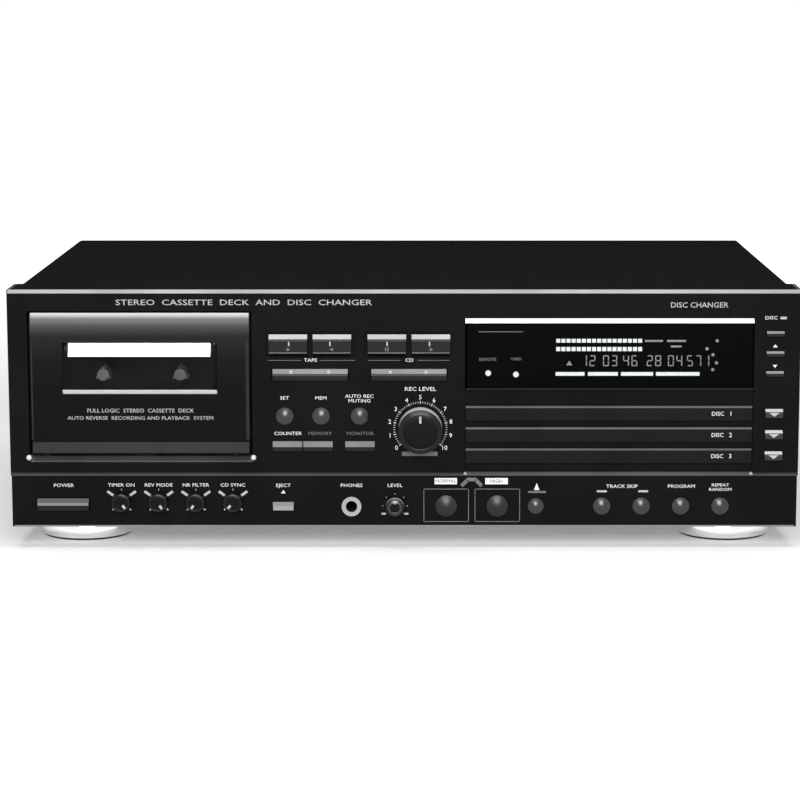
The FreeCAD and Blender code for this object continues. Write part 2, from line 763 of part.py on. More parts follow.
def raised_pane(body, wide, tall, proud, back, side, foot, top):
    """A pane that stands out of its surface, with a sloping border of its own width on each side."""
    profile = side_sketch(body, body.Label + "_profile")
    outline(profile, [(back, f"-({tall})/2"), ("0", f"-({tall})/2"), (f"-{proud}", f"-({tall})/2 + {foot}"),
                      (f"-{proud}", f"({tall})/2 - {top}"), ("0", f"({tall})/2"), (back, f"({tall})/2")])
    pad(body, profile, wide, symmetric=True)
    borders = top_sketch(body, body.Label + "_borders", tall)
    for sign in ("-", ""):
        outline(borders, [(f"{sign}(({wide})/2 - {side})", f"-{proud}"),
                          (f"{sign}(({wide})/2 + 1)", f"-{proud}"),
                          (f"{sign}(({wide})/2 + 1)", "0"), (f"{sign}({wide})/2", "0")])
    pocket(body, borders, f"2*({tall})")


def make_door():
    """The cassette door: a crowned shell with a window, and the holder behind it that turns on two pins."""
    shell = new_body("door_shell", "door_middle")
    slab = front_sketch(shell, "door_slab")
    rectangle(slab, "-door_wide/2", "door_wide/2", "door_low", "door_top")
    block = pad(shell, slab, "door_rim_deep", reverse=True)
    crown = side_sketch(shell, "door_crown", "-door_wide/2 - 1")
    bowed_corner(crown, "(door_top - door_crown)", "(door_top + door_edge)", "crown_radius")
    block = pocket(shell, crown, "door_wide + 2", reverse=True)
    hollow = shell.newObject("PartDesign::Thickness", "door_hollow")
    back = [f"Face{index}" for index, face in enumerate(block.Shape.Faces, 1)
            if near(face.BoundBox.YMin, "door_rim_deep")]
    hollow.Base = (block, back)
    hollow.Reversed = True
    hollow.setExpression("Value", tied("door_wall"))
    settle(shell, hollow, False)
    upright = edges_of(hollow, lambda box: near(box.YMax, "0") and box.ZMax - box.ZMin > 1)
    soften(shell, "Chamfer", hollow, upright, "door_edge")
    underside = front_sketch(shell, "door_underside", "door_rim_deep")
    rectangle(underside, "-door_wide/2 + door_wall", "door_wide/2 - door_wall", "door_low - 1",
              "door_low + door_wall + 0.5")
    pocket(shell, underside, "door_rim_deep - door_wall", reverse=True)
    opening = front_sketch(shell, "window_opening")
    centred(opening, "0", "window_z + window_tall/2", "window_wide", "window_tall")
    pocket(shell, opening, "door_wall + 1")
    lip = side_sketch(shell, "door_lip")
    outline(lip, [("0", "door_low"), ("-door_lip_proud", "door_low"),
                  ("-door_lip_proud", "door_low + door_edge"),
                  ("0", "door_low + door_lip_tall")])
    pad(shell, lip, "door_wide - 2*door_edge", symmetric=True)

    window = new_body("door_window", "door_middle", "window_z + window_tall/2")
    raised_pane(window, "window_wide - slide_gap", "window_tall - slide_gap", "window_proud", "door_wall",
                "window_side_slope", "window_foot_slope", "window_top_slope")
    flange = front_sketch(window, "window_edge", "door_wall")
    centred(flange, "0", "0", "window_wide + 2*window_flange", "window_tall + 2*window_flange")
    pad(window, flange, "window_flange/2", reverse=True)

    holder = new_body("cassette_holder", "door_middle")
    channels = top_sketch(holder, "holder_channels", "holder_low")
    inner = "(holder_half - channel_wall)"
    for side in ("-", ""):
        outline(channels, [(f"{side}holder_half", "door_wall"),
                           (f"{side}holder_half", "pocket_back + rail_thick"),
                           (f"{side}({inner} - channel_lip)", "pocket_back + rail_thick"),
                           (f"{side}({inner} - channel_lip)", "pocket_back"),
                           (f"{side}{inner}", "pocket_back"),
                           (f"{side}{inner}", "pocket_front"),
                           (f"{side}({inner} - channel_lip)", "pocket_front"),
                           (f"{side}({inner} - channel_lip)", "door_wall")])
    holder.AllowCompound = True
    pad(holder, channels, "holder_top - holder_low")
    frame = front_sketch(holder, "holder_frame", "door_wall")
    rectangle(frame, "-holder_half", "holder_half", "holder_low", "holder_top")
    rectangle(frame, f"-({inner} - channel_lip)", f"{inner} - channel_lip",
              "holder_low + holder_bar", "holder_top - holder_bar")
    pad(holder, frame, "channel_wall", reverse=True)
    crown = side_sketch(holder, "crown_relief")
    outline(crown, [("door_wall - 1", "door_top - door_crown"),
                    ("door_wall", "door_top - door_crown - slide_gap"),
                    ("door_wall + crown_room", "holder_top + slide_gap"),
                    ("door_wall - 1", "holder_top + slide_gap")])
    pocket(holder, crown, "2*holder_half + 2", symmetric=True)
    shelves = top_sketch(holder, "cassette_shelves", "holder_low")
    for side in ("-", ""):
        rectangle(shelves, f"{side}({inner} - shelf_wide)", f"{side}({inner} + channel_wall/2)",
                  "door_wall + channel_wall/2", "pocket_back + rail_thick")
    pad(holder, shelves, "cassette_low - holder_low")
    for side in ("-", ""):
        ear = side_sketch(holder, "left_ear" if side else "right_ear", f"{side}holder_half")
        outline(ear, [("door_wall", "holder_low + channel_wall"),
                      ("door_wall", "hinge_z + ear_half + ear_waist"),
                      ("hinge_deep - ear_waist", "hinge_z + ear_half"),
                      ("hinge_deep - ear_waist", "hinge_z"),
                      ("hinge_deep - ear_corner", "hinge_z - ear_corner"),
                      ("hinge_deep", "hinge_z - ear_half"),
                      ("hinge_deep + ear_corner", "hinge_z - ear_corner"),
                      ("hinge_deep + ear_half", "hinge_z"),
                      ("hinge_deep + ear_half", "holder_low + channel_wall")])
        pad(holder, ear, "channel_wall", reverse=not side)
        pin = side_sketch(holder, "left_pin" if side else "right_pin", f"{side}{inner}")
        circle(pin, "hinge_deep", "hinge_z", "hinge_pin_radius")
        pad(holder, pin, "well_wide/2 + door_edge + hinge_lug_thick - holder_half + channel_wall",
            reverse=bool(side))


def make_cassette_deck():
    """The fixed deck plate, the reel hubs, the capstans with their flywheels, and the carriage with its head."""
    frame = new_body("deck_frame", "door_middle")
    plate = front_sketch(frame, "deck_plate", "plate_front")
    reach = "well_wide/2 + door_edge + hinge_lug_thick"
    rectangle(plate, f"-({reach})", reach, "pan_top", "holder_top")
    pad(frame, plate, "deck_plate_thick", reverse=True)
    foot = top_sketch(frame, "deck_foot", "pan_top")
    rectangle(foot, f"-({reach})", reach, "plate_front", "plate_front + deck_foot_long")
    pad(frame, foot, "deck_plate_thick")
    for side in ("-", ""):
        arm = side_sketch(frame, "left_arm" if side else "right_arm", f"{side}({reach})")
        rectangle(arm, "flange_front", "plate_front", "hinge_z - 2*hinge_drop", "hinge_z + 2*hinge_drop")
        pad(frame, arm, "hinge_lug_thick", reverse=not side)
    bore = side_sketch(frame, "hinge_bore")
    centred(bore, "hinge_deep", "hinge_z", "2*(hinge_pin_radius + pin_clearance)",
            "2*(hinge_pin_radius + pin_clearance)")
    pocket(frame, bore, f"2*({reach}) + 2", symmetric=True)
    bearings = front_sketch(frame, "shaft_bearings", "plate_front")
    circle(bearings, "capstan_along", "capstan_z", "capstan_radius + shaft_clearance")
    for side in ("-", ""):
        circle(bearings, f"{side}hub_spacing/2", "hub_z", "hub_core + shaft_clearance")
    pocket(frame, bearings, "deck_plate_thick + 1")

    for name, side in (("left", "-"), ("right", "+")):
        hub = new_body(f"reel_hub_{name}", f"door_middle {side} hub_spacing/2", "hub_z")
        core = front_sketch(hub, f"hub_{name}_core", "hub_tip")
        circle(core, "0", "0", "hub_core")
        pad(hub, core, "shaft_end - hub_tip", reverse=True)
        spline = front_sketch(hub, f"hub_{name}_spline", "hub_tip + spline_start")
        rectangle(spline, "-spline_wide/2", "spline_wide/2", "hub_core/2", "hub_core + spline_tall")
        fin = pad(hub, spline, "plate_front - stop_gap - hub_tip - spline_start", reverse=True)
        ring = hub.newObject("PartDesign::PolarPattern", f"hub_{name}_splines")
        ring.Originals = [fin]
        ring.Axis = (spline, ["N_Axis"])
        ring.Angle = 360
        ring.Occurrences = 3
        settle(hub, ring, True)

    capstan = new_body("capstan", "door_middle + capstan_along", "capstan_z")
    shaft = front_sketch(capstan, "capstan_shaft", "hub_tip")
    circle(shaft, "0", "0", "capstan_radius")
    pad(capstan, shaft, "shaft_end - hub_tip", reverse=True)

    carriage = new_body("head_carriage", "door_middle")
    slide = front_sketch(carriage, "carriage_plate", "plate_front - slide_gap - rail_thick")
    rectangle(slide, "-head_half - roller_radius", "capstan_along + 2*roller_radius",
              "roller_z - 3*roller_radius", "roller_z + roller_radius/2")
    pad(carriage, slide, "rail_thick", reverse=True)
    head = front_sketch(carriage, "tape_head", "plate_front - slide_gap - rail_thick")
    rectangle(head, "-head_half", "head_half", "roller_z - 2*roller_radius", "roller_z + roller_radius")
    pad(carriage, head, "plate_front - slide_gap - rail_thick - pocket_front - 1")
    roller = front_sketch(carriage, "pinch_roller", "plate_front - slide_gap - rail_thick")
    circle(roller, "capstan_along", "roller_z", "roller_radius")
    pad(carriage, roller, "roller_long")


def make_disc_player():
    """The cage with its rails, three disc drawers, and the lift that carries the turntable and the laser sled."""
    cage = new_body("tray_cage", "module_middle")
    section = front_sketch(cage, "cage_section", "flange_front")
    inner = "(cage_half - cage_wall)"
    comb = [("cage_half", "pan_top"), ("cage_half", "tray_top + cage_wall"),
            (inner, "tray_top + cage_wall")]
    for tray in (2, 1, 0):
        shelf = f"(tray_3_z + {tray}*tray_pitch - tray_thick/2 - slide_gap)"
        comb += [(inner, shelf), (f"{inner} - rail_wide", shelf),
                 (f"{inner} - rail_wide", f"{shelf} - rail_thick"), (inner, f"{shelf} - rail_thick")]
    comb += [(inner, "pan_top + cage_wall")]
    mirrored = [(f"-({across})", up) for across, up in reversed(comb)]
    outline(section, comb + mirrored)
    pad(cage, section, "lift_back - flange_front", reverse=True)
    front = side_sketch(cage, "cage_front_relief", "module_wide/2")
    rectangle(front, "flange_front - 1", "board_deep + board_thick + boss_size", "panel_low", "ledge_low")
    pocket(cage, front, "module_wide")
    posts = top_sketch(cage, "lift_posts", "pan_top + cage_wall")
    for side in ("-", ""):
        for back in ("lift_front + lift_edge", "lift_back - lift_edge"):
            centred(posts, f"{side}(lift_half - lift_edge)", back, "lift_post_size", "lift_post_size")
    pad(cage, posts, "lift_low - pan_top - cage_wall + lift_travel + 2*lift_thick")

    for tray in (1, 2, 3):
        body = new_body(f"disc_tray_{tray}", "module_middle", f"tray_3_z + {3 - tray}*tray_pitch")
        face = side_sketch(body, f"tray_{tray}_face")
        outline(face, [("-tray_face_proud", "-tray_face_tall/2"),
                       ("-tray_face_proud", "tray_face_tall/2 - tray_bevel"),
                       ("-tray_face_proud + tray_bevel", "tray_face_tall/2"),
                       ("module_deep - slide_gap", "tray_face_tall/2"),
                       ("module_deep - slide_gap", "-tray_face_tall/2")])
        pad(body, face, "module_wide - 2*tray_gap", symmetric=True)
        plate = top_sketch(body, f"tray_{tray}_plate", "-tray_thick/2")
        rectangle(plate, "-tray_plate_half", "tray_plate_half", "module_deep/2", "panel_wall + tray_long")
        pad(body, plate, "tray_thick")
        well = top_sketch(body, f"tray_{tray}_disc_well", "tray_thick/2")
        circle(well, "0", "disc_y", "disc_size/2 + disc_play")
        pocket(body, well, "disc_well_deep")
        slot = top_sketch(body, f"tray_{tray}_slot", "tray_thick/2 + 1")
        rectangle(slot, "-slot_half", "slot_half", "disc_y - slot_half", "panel_wall + tray_long + 1")
        pocket(body, slot, "tray_thick + 2")

    lift = new_body("player_lift", "module_middle")
    deck = top_sketch(lift, "lift_deck", "lift_low")
    rectangle(deck, "-lift_half", "lift_half", "lift_front", "lift_back - slide_gap")
    pad(lift, deck, "lift_thick")
    motor = top_sketch(lift, "spindle_motor", "lift_low")
    centred(motor, "0", "spindle_y", "motor_size", "motor_size")
    pad(lift, motor, "motor_tall", reverse=True)
    openings = top_sketch(lift, "lift_openings", "lift_low + lift_thick")
    for side in ("-", ""):
        for back in ("lift_front + lift_edge", "lift_back - lift_edge"):
            centred(openings, f"{side}(lift_half - lift_edge)", back,
                    "lift_post_size + 2*slide_gap", "lift_post_size + 2*slide_gap")
    rectangle(openings, "-sled_half - slide_gap", "sled_half + slide_gap",
              "sled_front - slide_gap", "sled_front + sled_long + sled_travel + slide_gap")
    pocket(lift, openings, "lift_thick + 1")
    bore = top_sketch(lift, "spindle_bore", "lift_low + lift_thick")
    centred(bore, "0", "spindle_y", "2*(spindle_radius + shaft_clearance)",
            "2*(spindle_radius + shaft_clearance)")
    pocket(lift, bore, "lift_thick + motor_tall - motor_base")

    table = new_body("turntable", "module_middle", "lift_low + lift_thick")
    table.setExpression("Placement.Base.y", tied("face_y + spindle_y"))
    turned = side_sketch(table, "turntable_profile")
    outline(turned, [("0", "spindle_lift - motor_tall"), ("spindle_radius", "spindle_lift - motor_tall"),
                     ("spindle_radius", "slide_gap"),
                     ("turntable_radius", "slide_gap"), ("turntable_radius", "turntable_thick"),
                     ("0", "turntable_thick")])
    revolve(table, turned, axis="V_Axis")

    sled = new_body("laser_sled", "module_middle", "lift_low")
    block = top_sketch(sled, "sled_block", "-lift_thick")
    rectangle(block, "-sled_half", "sled_half", "sled_front", "sled_front + sled_long")
    pad(sled, block, "2*lift_thick + 1")
    lens = top_sketch(sled, "sled_lens", "lift_thick + 1")
    centred(lens, "0", "sled_front + lens_size", "lens_size", "lens_size")
    pad(sled, lens, "1")


def make_casing():
    """The bottom pan, the folded top cover and the rear panel, all of thin sheet."""
    pan = new_body("chassis_pan")
    section = front_sketch(pan, "pan_section", "floor_return + slide_gap")
    outline(section, [("-pan_half", "panel_low"), ("pan_half", "panel_low"),
                      ("pan_half", "panel_low + pan_side_tall"),
                      ("pan_half - sheet_thick", "panel_low + pan_side_tall"),
                      ("pan_half - sheet_thick", "pan_top"),
                      ("sheet_thick - pan_half", "pan_top"),
                      ("sheet_thick - pan_half", "panel_low + pan_side_tall"),
                      ("-pan_half", "panel_low + pan_side_tall")])
    pad(pan, section, "rear_face - floor_return - slide_gap", reverse=True)
    posts = top_sketch(pan, "board_posts", "pan_top")
    for across in ("main_board_left + boss_size", "main_board_left + main_board_wide - boss_size"):
        for back in ("main_board_front + boss_size", "main_board_front + main_board_long - boss_size"):
            centred(posts, across, back, "boss_size", "boss_size")
    pad(pan, posts, "main_board_rise")

    cover = new_body("top_cover")
    section = front_sketch(cover, "cover_section", "cover_front")
    outline(section, [("-cover_half", "panel_low"), ("-cover_half", "cover_top"),
                      ("cover_half", "cover_top"),
                      ("cover_half", "panel_low"), ("cover_half - sheet_thick", "panel_low"),
                      ("cover_half - sheet_thick", "cover_top - sheet_thick"),
                      ("sheet_thick - cover_half", "cover_top - sheet_thick"),
                      ("sheet_thick - cover_half", "panel_low")])
    folded = pad(cover, section, "unit_deep - cover_front", reverse=True)
    inner_top = "cover_top - sheet_thick"
    outer = edges_of(folded, lambda box: box.YMax - box.YMin > 10 and near(box.ZMin, "cover_top"))
    folded = soften(cover, "Fillet", folded, outer, "cover_bend")
    inner = edges_of(folded, lambda box: box.YMax - box.YMin > 10 and near(box.ZMin, inner_top))
    soften(cover, "Fillet", folded, inner, "cover_bend - sheet_thick")

    rear = new_body("rear_panel")
    sheet = front_sketch(rear, "rear_sheet", "rear_face")
    top = "cover_top - sheet_thick - slide_gap"
    outline(sheet, [("-pan_half", "panel_low"), ("pan_half", "panel_low"),
                    ("pan_half", f"{top} - cover_bend"),
                    ("pan_half - cover_bend", top), ("cover_bend - pan_half", top),
                    ("-pan_half", f"{top} - cover_bend")])
    pad(rear, sheet, "sheet_thick", reverse=True)
    openings = front_sketch(rear, "rear_openings", "rear_face")
    centred(openings, "socket_x", "socket_z", "2*socket_pitch", "2*socket_pitch")
    centred(openings, "gland_x", "gland_z", "gland_neck + 2*slide_gap", "gland_neck + 2*slide_gap")
    pocket(rear, openings, "sheet_thick + 1")


def make_rear_sockets():
    """The plate and block of two pairs of phono sockets, and the bush where the mains lead enters."""
    plate = new_body("socket_plate", "socket_x", "socket_z")
    nodes.remove(plate)
    outer = front_sketch(plate, "socket_sheet", "unit_deep")
    centred(outer, "0", "0", "2*socket_pitch + 2*socket_edge", "2*socket_pitch + 2*socket_edge")
    pad(plate, outer, "socket_plate_thick", reverse=True)
    inner = front_sketch(plate, "socket_body", "unit_deep")
    centred(inner, "0", "0", "2*socket_pitch - 2*slide_gap", "2*socket_pitch - 2*slide_gap")
    pad(plate, inner, "rear_room - slide_gap")

    bush = new_body("cord_bush", "gland_x", "gland_z")
    nodes.remove(bush)
    profile = side_sketch(bush, "bush_profile")
    outline(profile, [("rear_face - gland_lip", "-gland_size/2"), ("rear_face - gland_lip", "gland_size/2"),
                      ("rear_face", "gland_size/2"), ("rear_face", "gland_neck/2"),
                      ("unit_deep", "gland_neck/2"),
                      ("unit_deep", "gland_size/2"), ("unit_deep + gland_lip", "gland_size/2"),
                      ("unit_deep + socket_out", "gland_neck/2"),
                      ("unit_deep + socket_out", "-gland_neck/2"),
                      ("unit_deep + gland_lip", "-gland_size/2"), ("unit_deep", "-gland_size/2"),
                      ("unit_deep", "-gland_neck/2"), ("rear_face", "-gland_neck/2"),
                      ("rear_face", "-gland_size/2")])
    pad(bush, profile, "gland_neck", symmetric=True)
    bore = front_sketch(bush, "cord_bore", "rear_face - gland_lip")
    centred(bore, "0", "0", "cord_wide", "cord_thick")
    pocket(bush, bore, "gland_lip + sheet_thick + socket_out")
    gather("rear_sockets", [plate, bush], moved=False)


def make_headphone_jack():
    """A panel socket for a quarter-inch plug: round nut, neck through the panel and body behind it."""
    body = new_body("headphone_jack", "block_left + jack_along", "strip_z")
    nut = front_sketch(body, "jack_nut", "strip_set_back")
    circle(nut, "0", "0", "jack_nut_radius")
    pad(body, nut, "jack_nut_thick")
    neck = front_sketch(body, "jack_neck", "strip_set_back")
    centred(neck, "0", "0", "jack_neck", "jack_neck")
    pad(body, neck, "panel_wall - strip_set_back", reverse=True)
    case = front_sketch(body, "jack_case", "panel_wall")
    centred(case, "0", "0", "2*jack_nut_radius", "2*jack_nut_radius")
    pad(body, case, "jack_length + strip_set_back - jack_nut_thick - panel_wall + key_flange_thick",
        reverse=True)
    bore = front_sketch(body, "jack_bore", "strip_set_back - jack_nut_thick")
    circle(bore, "0", "0", "jack_bore_radius")
    pocket(body, bore, "jack_length")


def make_transformer():
    """The mains transformer: a core of laminations round a wider winding, on a foot plate."""
    body = new_body("power_transformer", "gland_x + transformer_wide/2")
    foot = top_sketch(body, "transformer_foot", "pan_top")
    rectangle(foot, "-transformer_wide/2 - transformer_tab", "transformer_wide/2 + transformer_tab",
              "transformer_front", "transformer_front + transformer_long")
    pad(body, foot, "2*sheet_thick")
    core = top_sketch(body, "transformer_core", "pan_top + 2*sheet_thick")
    rectangle(core, "-transformer_wide/2", "transformer_wide/2",
              "transformer_front + transformer_long/4", "transformer_front + 3*transformer_long/4")
    pad(body, core, "transformer_tall - 2*sheet_thick")
    winding = top_sketch(body, "transformer_winding", "pan_top + transformer_tab")
    rectangle(winding, "-transformer_wide/3", "transformer_wide/3",
              "transformer_front", "transformer_front + transformer_long")
    pad(body, winding, "transformer_tall - 2*transformer_tab")


def block(name, left, right, front, back, low, high):
    """A plain box between three pairs of places."""
    box = doc.addObject("Part::Box", name)
    for side, first, last, axis in (("Length", left, right, "x"), ("Width", front, back, "y"),
                                    ("Height", low, high, "z")):
        box.setExpression(side, tied(f"({last}) - ({first})"))
        box.setExpression("Placement.Base." + axis, tied(first))
    return box


def join(kind, name, first, second):
    """One solid cut from, or fused with, another."""
    result = doc.addObject("Part::" + kind, name)
    result.Base = first
    result.Tool = second
    return result


def gather(label, pieces, moved=True):
    """Separate solids that share one node."""
    group = doc.addObject("Part::Compound", label)
    group.Label = label
    group.Links = pieces
    if moved:
        group.setExpression("Placement.Base.y", tied("face_y"))
    nodes.append(group)
    return group


def make_circuit_boards():
    """Boards behind the keys and the display, each key's switch, each knob's control, and the main board."""
    pieces = []
    for name, left, right, low, high, deep in BOARDS:
        pieces.append(block(name, left, right, deep, f"{deep} + board_thick", low, high))
    switches = [(name, across, up) for name, across, up, *rest in BAR_KEYS if not name.startswith("skip")]
    switches += [(name, across, up) for name, across, up, *rest in ROUND_KEYS]
    for name, across, up, *rest in BAR_KEYS:
        if name.startswith("skip"):
            switches += [(f"{name}_{side}", f"{across} {sign} rocker_post_along", up)
                         for side, sign in (("left", "-"), ("right", "+"))]
    for name, across, up in switches:
        pieces.append(block(name + "_switch", f"{across} - switch_size/2", f"{across} + switch_size/2",
                            "board_deep - switch_deep", "board_deep", f"{up} - switch_size/2",
                            f"{up} + switch_size/2"))
    for name, across, up, *rest in KNOBS:
        case = block(name + "_case", f"{across} - pot_half", f"{across} + pot_half",
                     "panel_wall", "panel_wall + pot_deep", f"{up} - pot_half", f"{up} + pot_half")
        bore = block(name + "_bore", f"{across} - shaft_room", f"{across} + shaft_room",
                     "panel_wall - 1", "panel_wall + pot_deep - pot_base", f"{up} - shaft_room",
                     f"{up} + shaft_room")
        pieces.append(join("Cut", name + "_control", case, bore))
    pieces.append(block("display_tube", "module_left + display_frame + tube_gap",
                        "module_right - display_frame - tube_gap",
                        "panel_wall + slide_gap", "display_board_deep",
                        "display_low + display_frame", "module_top - display_frame - tube_head"))
    pieces.append(block("main_board", "main_board_left", "main_board_left + main_board_wide",
                        "main_board_front", "main_board_front + main_board_long",
                        "pan_top + main_board_rise", "pan_top + main_board_rise + board_thick"))
    gather("circuit_boards", pieces)


def make_feet():
    """Four round feet."""
    pieces = []
    for side, column in (("-", "left"), ("", "right")):
        for row, back in (("front", "foot_front"), ("rear", "unit_deep - foot_rear")):
            foot = doc.addObject("Part::Cylinder", f"{row}_{column}_foot")
            foot.setExpression("Radius", tied("foot_radius"))
            foot.setExpression("Height", tied("foot_tall"))
            foot.setExpression("Placement.Base.x", tied(f"{side}(panel_half - foot_side)"))
            foot.setExpression("Placement.Base.y", tied(back))
            pieces.append(foot)
    gather("feet", pieces)


# Keys with a rectangular face: name, place across, place up, width, height, top slope, front face, travel.
BAR_KEYS = []
for number_of_key in range(4):
    bank_of_key = f"bank_left_{number_of_key // 2 + 1}"
    step = f"{number_of_key % 2}*(transport_wide + transport_gap)"
    BAR_KEYS.append((f"transport_key_{number_of_key + 1}",
                     f"{bank_of_key} + bank_rim + transport_wide/2 + {step}",
                     "transport_z", "transport_wide", "transport_tall", "transport_bevel",
                     "bank_deep - transport_proud", "key_travel"))
for number_of_key in (1, 2):
    BAR_KEYS.append((f"skip_rocker_{number_of_key}", f"bank_left_{number_of_key} + bank_wide/2", "rocker_z",
                     "rocker_wide", "rocker_tall", "rocker_bevel", "-key_proud", "key_travel"))
for number_of_key in (1, 2, 3):
    BAR_KEYS.append((f"bar_key_{number_of_key}", f"block_left + bar_key_{number_of_key}_along",
                     "ledge_top + bar_key_rise", "bar_key_wide", "bar_key_tall", "bar_key_bevel",
                     "-key_proud", "key_travel"))
for number_of_key in (1, 2, 3):
    BAR_KEYS.append((f"side_key_{number_of_key}", "side_key_x",
                     f"ledge_top + side_key_rise + {3 - number_of_key}*side_key_pitch", "side_key_wide",
                     "side_key_tall", "side_key_bevel", "-key_proud", "key_travel"))
for number_of_key in (1, 2, 3):
    BAR_KEYS.append((f"open_key_{number_of_key}", "side_key_x",
                     f"tray_3_z + {3 - number_of_key}*tray_pitch",
                     "side_key_wide", "open_key_tall", "open_key_bevel", "-key_proud", "key_travel"))
BAR_KEYS.append(("power_key", "well_left + power_along", "panel_low + power_rise", "power_wide",
                 "power_tall",
                 "power_bevel", "strip_set_back - power_proud", "power_travel"))
BAR_KEYS.append(("eject_key", "block_left + eject_along", "strip_z", "eject_wide", "eject_tall",
                 "eject_bevel", "strip_set_back - key_proud", "key_travel"))

# Turned keys: name, place across, place up, diameter, travel.
ROUND_KEYS = []
for number_of_key in (1, 2, 3):
    ROUND_KEYS.append((f"round_key_{number_of_key}", f"block_left + round_key_{number_of_key}_along",
                       "ledge_top + round_key_rise", "round_key_size", "key_travel"))
for number_of_key in (1, 2):
    ROUND_KEYS.append((f"dub_key_{number_of_key}",
                       f"block_left + dub_1_along + {number_of_key - 1}*dub_pitch",
                       "strip_z", "dub_size", "key_travel"))
ROUND_KEYS.append(("search_key", "block_left + single_along", "strip_z", "single_size", "key_travel"))
for number_of_key in (1, 2, 3, 4):
    ROUND_KEYS.append((f"lower_key_{number_of_key}",
                       f"module_left + lower_along + {number_of_key - 1}*lower_pitch",
                       "strip_z", "lower_size", "key_travel"))

# Knobs: name, place across, place up, diameter, how far it stands out of the panel.
KNOBS = [("level_knob", "level_x", "level_z", "2*level_radius", "level_proud"),
         ("phones_knob", "block_left + phones_along", "strip_z", "selector_size", "small_knob_proud")]
for number_of_knob in (1, 2, 3, 4):
    KNOBS.append((f"selector_knob_{number_of_knob}",
                  f"well_left + selector_along + {number_of_knob - 1}*selector_pitch",
                  "panel_low + selector_rise", "selector_size", "small_knob_proud"))

# Bosses behind the wall that carry the boards, each clear of the keys round it.
BOSSES = [("block_left + round_key_1_along - 2*boss_size/2", "(rocker_z + ledge_top + round_key_rise)/2"),
          ("block_left + (round_key_3_along + level_along)/2 - boss_shift",
           "(rocker_z + ledge_top + round_key_rise)/2"),
          ("block_left + (round_key_1_along + round_key_2_along)/2",
           "ledge_top + (round_key_rise + bar_key_rise)/2"),
          ("block_left + (round_key_3_along + level_along)/2 - 2", "ledge_top + bar_key_rise"),
          ("side_key_x", "(ledge_top + side_key_rise + tray_3_z + 2*tray_pitch)/2"),
          ("side_key_x", "ledge_top + side_key_rise + 2*side_key_pitch + 3*boss_size/2"),
          ("well_left + (power_along + power_wide/2 + selector_along - pot_half)/2", "strip_z"),
          ("(well_left + selector_along + 3*selector_pitch + block_left + eject_along)/2", "strip_z"),
          ("block_left + dub_1_along + dub_pitch/2", "strip_z"),
          ("(block_left + single_along + module_left + lower_along)/2", "strip_z")]

# Boards: name, left, right, low, high, depth behind the panel's face.
BOARDS = [("key_board", "block_left + 1", "block_left + block_wide - 1",
           "ledge_top + bar_key_rise - board_margin",
           "transport_z + board_margin", "board_deep"),
          ("side_board", "side_key_x - board_margin", "side_key_x + board_margin",
           "tray_3_z - board_margin",
           "ledge_top + side_key_rise + 2*side_key_pitch + 4*boss_size/2", "board_deep"),
          ("left_strip_board", "well_left + power_along - power_wide/2",
           "block_left + eject_along + board_margin",
           "strip_z - board_margin", "strip_z + board_margin", "board_deep"),
          ("right_strip_board", "block_left + dub_1_along - board_margin",
           "module_left + lower_along + 3*lower_pitch + board_margin",
           "strip_z - board_margin", "strip_z + board_margin", "board_deep"),
          ("display_board", "module_left + 1", "module_right - 1", "display_low + 1",
           "module_top - 1", "display_board_deep")]

make_front_panel()
make_display_window()
make_door()
make_cassette_deck()
make_disc_player()
make_casing()
make_rear_sockets()
make_headphone_jack()
make_transformer()
make_circuit_boards()
make_feet()
for entry in BAR_KEYS:
    if entry[0].startswith("skip"):
        make_rocker(*entry)
    else:
        make_bar_key(*entry)
for entry in ROUND_KEYS:
    make_round_key(*entry)
for entry in KNOBS:
    make_knob(*entry)
doc.recompute()

for item in doc.Objects:
    if "Invalid" in item.State or "Error" in item.State:
        raise RuntimeError(f"{item.Label} is {item.State}")
for node in nodes:
    if node.Shape.isNull() or not node.Shape.isValid():
        raise RuntimeError(f"{node.Label} has no sound shape")

os.makedirs("parts", exist_ok=True)
for node in nodes:
    node.Shape.exportStep(f"parts/{node.Label}.step")
print(len(nodes), "nodes written")
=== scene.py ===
"""Finishes, prints and fine trim of a disc and cassette deck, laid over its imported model."""

import math

import bmesh
import bpy
from mathutils import Matrix, Vector


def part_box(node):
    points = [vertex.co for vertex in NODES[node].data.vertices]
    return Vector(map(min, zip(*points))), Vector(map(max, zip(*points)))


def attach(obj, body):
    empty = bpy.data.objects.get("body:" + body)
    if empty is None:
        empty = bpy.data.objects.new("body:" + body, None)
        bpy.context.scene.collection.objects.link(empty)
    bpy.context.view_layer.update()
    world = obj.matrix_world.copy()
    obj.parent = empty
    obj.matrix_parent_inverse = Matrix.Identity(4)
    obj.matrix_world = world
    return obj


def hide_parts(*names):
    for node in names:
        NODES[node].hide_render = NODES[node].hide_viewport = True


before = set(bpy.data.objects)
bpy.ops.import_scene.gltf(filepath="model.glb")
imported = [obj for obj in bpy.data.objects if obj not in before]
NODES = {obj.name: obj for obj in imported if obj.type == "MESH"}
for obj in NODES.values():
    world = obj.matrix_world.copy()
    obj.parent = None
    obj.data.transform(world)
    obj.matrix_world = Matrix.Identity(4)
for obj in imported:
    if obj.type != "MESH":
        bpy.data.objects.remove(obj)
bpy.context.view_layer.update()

MM = 0.001

